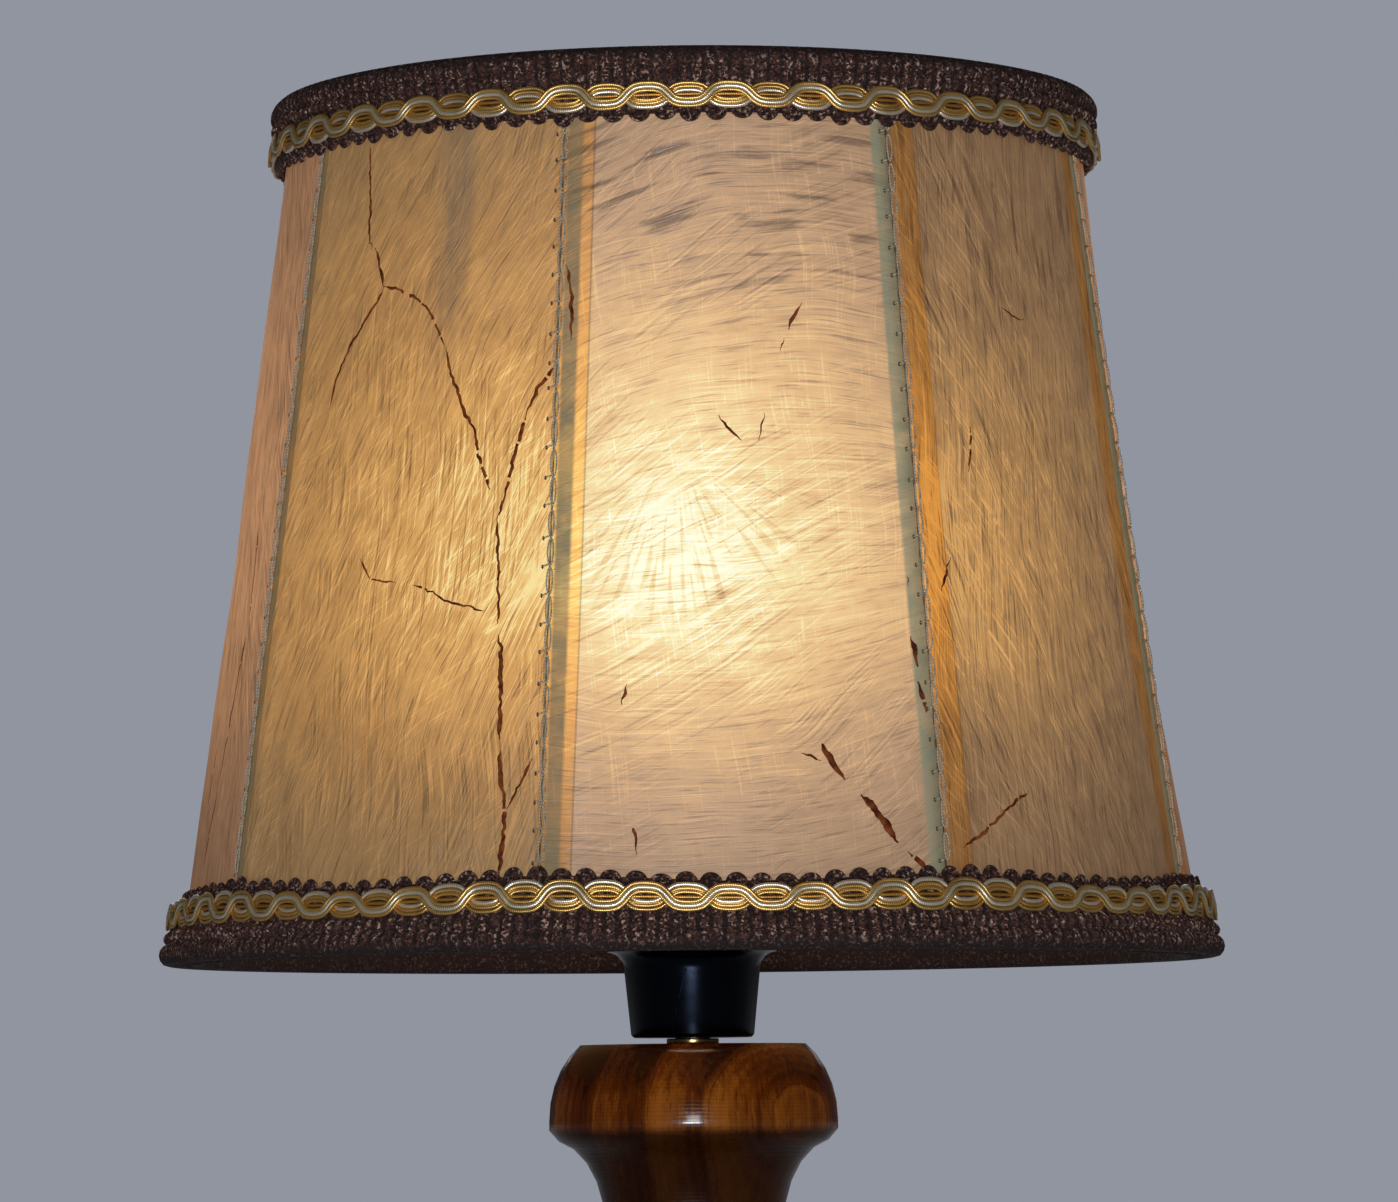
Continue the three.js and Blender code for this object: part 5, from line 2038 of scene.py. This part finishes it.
    def _wave_path(
        self, angle: np.ndarray, phase: float, offset: float, stand: float, dip: float
    ) -> np.ndarray:
        """The path of one cord of a wave, held at an even distance from the wave's middle line.

        Args:
            angle: Angles about the lamp's axis.
            phase: The wave's phase, in radians.
            offset: The cord's distance from the wave's middle line.
            stand: How far the wave stands out from the chain's back.
            dip: How much further it stands out where the waves cross.

        Returns:
            The points along its middle.
        """
        mean = self.skin(self.chain_middle) + self.chain_out
        fine = 1e-4
        level = self.chain_swing * self._wave(angle, phase)
        change = self._wave(angle + fine, phase) - self._wave(angle - fine, phase)
        slope = self.chain_swing * change / (2 * fine * mean)
        length = np.sqrt(1 + slope**2)
        up = self.chain_middle + level + offset / length
        out = self.chain_stand + stand + dip * np.exp(-((level / self.crossing) ** 2))
        return self.place(angle - offset * slope / length / mean, up, self.skin(up) + out)

    def _core(self, angle: np.ndarray) -> None:
        """Makes the three gold strands that lie in the links, drawn together where the waves cross.

        Args:
            angle: Angles about the lamp's axis.
        """
        height = self.core_pinch + self.core_swing * np.abs(self._wave(angle, 0.0))
        draft = Draft()
        for share, stand in self.core_strands:
            up = self.chain_middle + share * height
            path = self.place(angle, up, self.skin(up) + self.core_stand + stand)
            draft.cord(path, self.core_radius, closed=True)
        draft.piece(f"{self.label}_chain_core", self.core, "gold_thread", "shade")


@dataclass
class Shade:
    """The whole shade."""

    dresser: FrameDresser
    veins: tuple[Vein, ...]
    wrap_pitch: float = 0.0006
    wrap_depth: float = 0.00004

    def build(self) -> None:
        """Builds the shade from its wires outwards."""
        ShadeWires(self.dresser).build()
        HidePanels().build()
        Veins(self.veins).build()
        Seams().build()
        threads = [
            TwistedThread(name, colour, groove_shade_and_wear, self.wrap_pitch, metallic, roughness, self.wrap_depth).make()
            for name, colour, groove_shade_and_wear, metallic, roughness in (
                ("gold_thread", (0.78, 0.51, 0.160), (0.30, 0.145, 0.026), 0.75, 0.26),
                ("silver_thread", (0.86, 0.79, 0.62), (0.42, 0.35, 0.24), 0.65, 0.24),
                ("gold_core", (0.62, 0.300, 0.050), (0.12, 0.045, 0.007), 0.60, 0.28),
            )
        ]
        yarn = BraidYarn().make()
        BraidedRim(Rim.LOWER, yarn, *threads, ribs=264, picots=136, waves=42, wave_rise=0.0024).build()
        BraidedRim(Rim.UPPER, yarn, *threads, ribs=208, picots=104, waves=33, wave_rise=0.0008).build()


@dataclass
class Studio:
    """Camera at the photograph's angle, pale floor and soft light. Angles are in degrees."""

    azimuth: float = -6.08
    distance: float = 2.006
    camera_height: float = 0.262
    pitch: float = 4.224
    roll: float = 0.55
    yaw: float = -0.085
    focal_pixels: float = 7000
    photo_width: float = 1398
    sensor: float = 36.0
    floor_rings: tuple[float, ...] = (0.0001, 0.6, 2.0, 6.0, 13.0)
    floor_sides: int = 64
    lit_height: float = 0.36
    room_light: float = 0.085
    mirrored_light: float = 0.035
    backdrop_light: float = 0.33

    def build(self) -> None:
        """Makes the camera, the floor, the lights and the world."""
        self._camera()
        self._floor()
        self._lights()
        self._world()
        bpy.context.scene.view_settings.view_transform = "Standard"

    def _camera(self) -> None:
        """Stands the camera where the photograph was taken."""
        data = bpy.data.cameras.new("camera")
        data.sensor_width = self.sensor
        data.lens = self.focal_pixels / self.photo_width * self.sensor
        data.clip_end = 100.0
        camera = bpy.data.objects.new("camera", data)
        bpy.context.scene.collection.objects.link(camera)
        bpy.context.scene.camera = camera
        stand = math.radians(self.azimuth)
        look = stand + math.radians(self.yaw)
        level = Vector((-math.sin(look), math.cos(look), 0.0))
        right = Vector((math.cos(look), math.sin(look), 0.0))
        up = Vector((0.0, 0.0, 1.0))
        pitch, roll = math.radians(self.pitch), math.radians(self.roll)
        ahead = level * math.cos(pitch) + up * math.sin(pitch)
        upright = up * math.cos(pitch) - level * math.sin(pitch)
        across = right * math.cos(roll) - upright * math.sin(roll)
        top = right * math.sin(roll) + upright * math.cos(roll)
        turn = Matrix((across, top, -ahead)).transposed().to_4x4()
        at = Vector((math.sin(stand) * self.distance, -math.cos(stand) * self.distance, self.camera_height))
        camera.matrix_world = Matrix.Translation(at) @ turn

    def _floor(self) -> None:
        """Lays a round pale floor."""
        angle = round_turn(self.floor_sides)
        draft = Draft()
        draft.net(np.array([polar(angle, radius, 0.0) for radius in self.floor_rings]), around=True)
        mesh = bpy.data.meshes.new("floor")
        mesh.from_pydata(np.vstack(draft.points).tolist(), [], draft.faces)
        mesh.flip_normals()
        g = Graph("floor")
        mesh.materials.append(g.finish(Base_Color=(0.70, 0.71, 0.74), Roughness=0.8))
        floor = bpy.data.objects.new("floor", mesh)
        bpy.context.scene.collection.objects.link(floor)

    def _lights(self) -> None:
        """Sets a soft light by the camera, a low one for the lampholder's shine, and three others."""
        self._area("key", (-0.24, -2.35, 0.33), (0.40, 0.46), 17.0, (1.0, 0.985, 0.97))
        self._area("low", (-0.17, -1.30, 0.062), (0.30, 0.10), 12.0, (0.80, 0.88, 1.0))
        self._area("fill", (2.9, 0.2, 1.3), (2.4, 2.0), 7.0, (0.95, 0.97, 1.0))
        self._area("side", (-2.9, 0.3, 1.3), (2.4, 2.0), 6.0, (0.95, 0.97, 1.0))
        self._area("rear", (0.3, 2.7, 1.5), (1.8, 1.6), 14.0, (0.97, 0.98, 1.0))

    def _area(
        self,
        name: str,
        at: tuple[float, float, float],
        size: tuple[float, float],
        power: float,
        colour: Colour,
    ) -> None:
        """Adds a soft light that faces the lamp.

        Args:
            name: Its name.
            at: Where it stands.
            size: Its width and height.
            power: Its power in watts.
            colour: Its colour.
        """
        data = bpy.data.lights.new(name, "AREA")
        data.shape = "RECTANGLE"
        data.size, data.size_y = size
        data.energy = power
        data.color = colour
        lamp = bpy.data.objects.new(name, data)
        lamp.location = at
        towards = Vector((0.0, 0.0, self.lit_height)) - Vector(at)
        lamp.rotation_euler = towards.to_track_quat("-Z", "Y").to_euler()
        lamp.visible_glossy = name in ("key", "low", "rear")
        lamp.visible_diffuse = name != "low"
        lamp.visible_camera = False
        bpy.context.scene.collection.objects.link(lamp)

    def _world(self) -> None:
        """Fills the room with low even light that polish mirrors darker, before a paler backdrop."""
        world = bpy.data.worlds.new("room")
        g = Graph("room", world)
        backdrop, room, dusk = (
            g.node("ShaderNodeBackground", inputs={"Color": colour, "Strength": strength})
            for colour, strength in (
                ((0.86, 0.91, 1.06), self.backdrop_light),
                ((0.95, 0.97, 1.03), self.room_light),
                ((0.95, 0.97, 1.03), self.mirrored_light),
            )
        )
        seen = g.node("ShaderNodeLightPath", output="Is Camera Ray")
        mirrored = g.node("ShaderNodeLightPath", output="Is Glossy Ray")
        both = g.node("ShaderNodeMixShader", inputs={0: mirrored, 1: room, 2: dusk})
        both = g.node("ShaderNodeMixShader", inputs={0: seen, 1: both, 2: backdrop})
        g.node("ShaderNodeOutputWorld", inputs={"Surface": both})
        bpy.context.scene.world = world


# The veins that the photographed skins have
VEINS = (
    Vein(7, ((-20.8, 226.0), (-19.2, 214.0), (-18.6, 200.8), (-17.2, 196.0)), 0.8),
    Vein(7, ((-15.8, 196.5), (-14.7, 194.8), (-12.6, 189.0), (-11.2, 185.2)), 1.0),
    Vein(7, ((-11.2, 185.2), (-13.4, 181.0), (-16.9, 177.6), (-24.8, 168.5), (-29.4, 160.5), (-31.3, 152.4))),
    Vein(7, ((-11.2, 185.2), (-6.0, 184.2), (2.0, 180.6), (5.5, 178.2), (11.0, 170.0), (13.4, 166.0)), 0.8),
    Vein(7, ((13.4, 166.0), (15.6, 159.0), (18.4, 153.2), (21.0, 147.6), (24.6, 143.1), (27.6, 134.0),
             (31.6, 126.0)), 1.0),
    Vein(7, ((48.4, 159.5), (46.6, 156.4), (43.6, 152.9), (42.6, 150.0), (41.0, 146.2)), 1.0),
    Vein(7, ((41.0, 146.2), (38.7, 136.7), (37.6, 131.3), (36.1, 123.2), (34.4, 117.8)), 1.0),
    Vein(7, ((34.4, 117.8), (35.4, 111.0), (36.0, 106.8), (36.6, 100.0), (37.2, 94.0), (37.6, 89.0)), 0.9),
    Vein(7, ((38.2, 86.0), (39.1, 82.1), (40.3, 70.0), (41.0, 62.0), (41.5, 57.5)), 1.1),
    Vein(7, ((41.5, 55.5), (42.6, 48.0), (44.5, 41.2), (45.0, 34.0), (44.9, 21.1)), 1.3),
    Vein(7, ((51.6, 52.0), (48.6, 45.2), (45.4, 38.5)), 0.8),
    Vein(7, ((-13.2, 109.6), (-8.4, 103.2), (-3.0, 102.6), (2.0, 101.8)), 0.6),
    Vein(7, ((8.0, 101.0), (12.4, 99.8), (20.0, 96.0), (33.3, 92.7)), 0.6),
    Vein(0, ((19.4, 176.0), (17.2, 172.5), (15.6, 168.6)), 1.0),
    Vein(0, ((14.2, 166.0), (13.0, 162.8)), 0.9),
    Vein(0, ((-4.6, 145.0), (-2.9, 142.2), (1.7, 138.0)), 0.7),
    Vein(0, ((8.1, 145.6), (7.6, 142.0), (6.5, 138.0)), 0.6),
    Vein(0, ((20.9, 56.0), (23.6, 51.0), (27.5, 45.5)), 1.5),
    Vein(0, ((31.8, 41.5), (35.4, 37.8), (39.2, 33.0), (42.0, 28.6)), 2.0),
    Vein(0, ((15.6, 52.6), (18.8, 51.4), (21.0, 50.6)), 0.9),
    Vein(0, ((44.8, 26.2), (48.0, 23.6), (51.1, 21.1)), 1.6),
    Vein(0, ((-30.1, 34.6), (-30.0, 30.0), (-29.7, 25.6)), 1.1),
    Vein(0, ((-31.4, 71.6), (-33.0, 66.1)), 0.9),
    Vein(0, ((48.0, 84.7), (49.1, 80.8), (49.8, 76.4)), 1.5),
    Vein(0, ((49.6, 72.4), (50.6, 68.6), (51.9, 64.0)), 1.5),
    Vein(0, ((47.5, 101.0), (47.9, 98.4)), 0.9),
    Vein(0, ((-45.6, 187.0), (-44.6, 181.0), (-44.2, 172.0), (-44.8, 166.0)), 0.8),
    Vein(1, ((-9.4, 178.2), (-4.7, 175.9), (0.6, 175.6)), 0.6),
    Vein(1, ((-27.4, 143.6), (-28.2, 137.0), (-30.1, 131.1)), 0.8),
    Vein(1, ((-41.0, 106.9), (-43.4, 102.9), (-46.2, 97.3)), 0.9),
    Vein(1, ((-24.2, 43.4), (-34.2, 37.4), (-42.3, 31.9), (-50.1, 27.3)), 0.8),
    Vein(6, ((34.5, 122.0), (36.4, 108.0), (37.4, 96.0)), 0.5),
    Vein(6, ((36.8, 91.0), (34.2, 78.0), (31.6, 65.0), (29.2, 52.0)), 0.7),
    Vein(6, ((28.6, 48.0), (26.6, 38.0), (25.2, 27.0)), 0.6),
    Vein(6, ((21.0, 62.0), (19.0, 50.0), (18.2, 44.0)), 0.5),
)


def main() -> None:
    """Builds the lamp's pieces in order."""
    logging.basicConfig(level=logging.INFO, format="%(message)s")
    Studio().build()
    dresser = FrameDresser()
    Column(dresser).build()
    Lampholder(dresser).build()
    Bulb(dresser).build()
    Shade(dresser, VEINS).build()


if __name__ == "__main__":
    main()
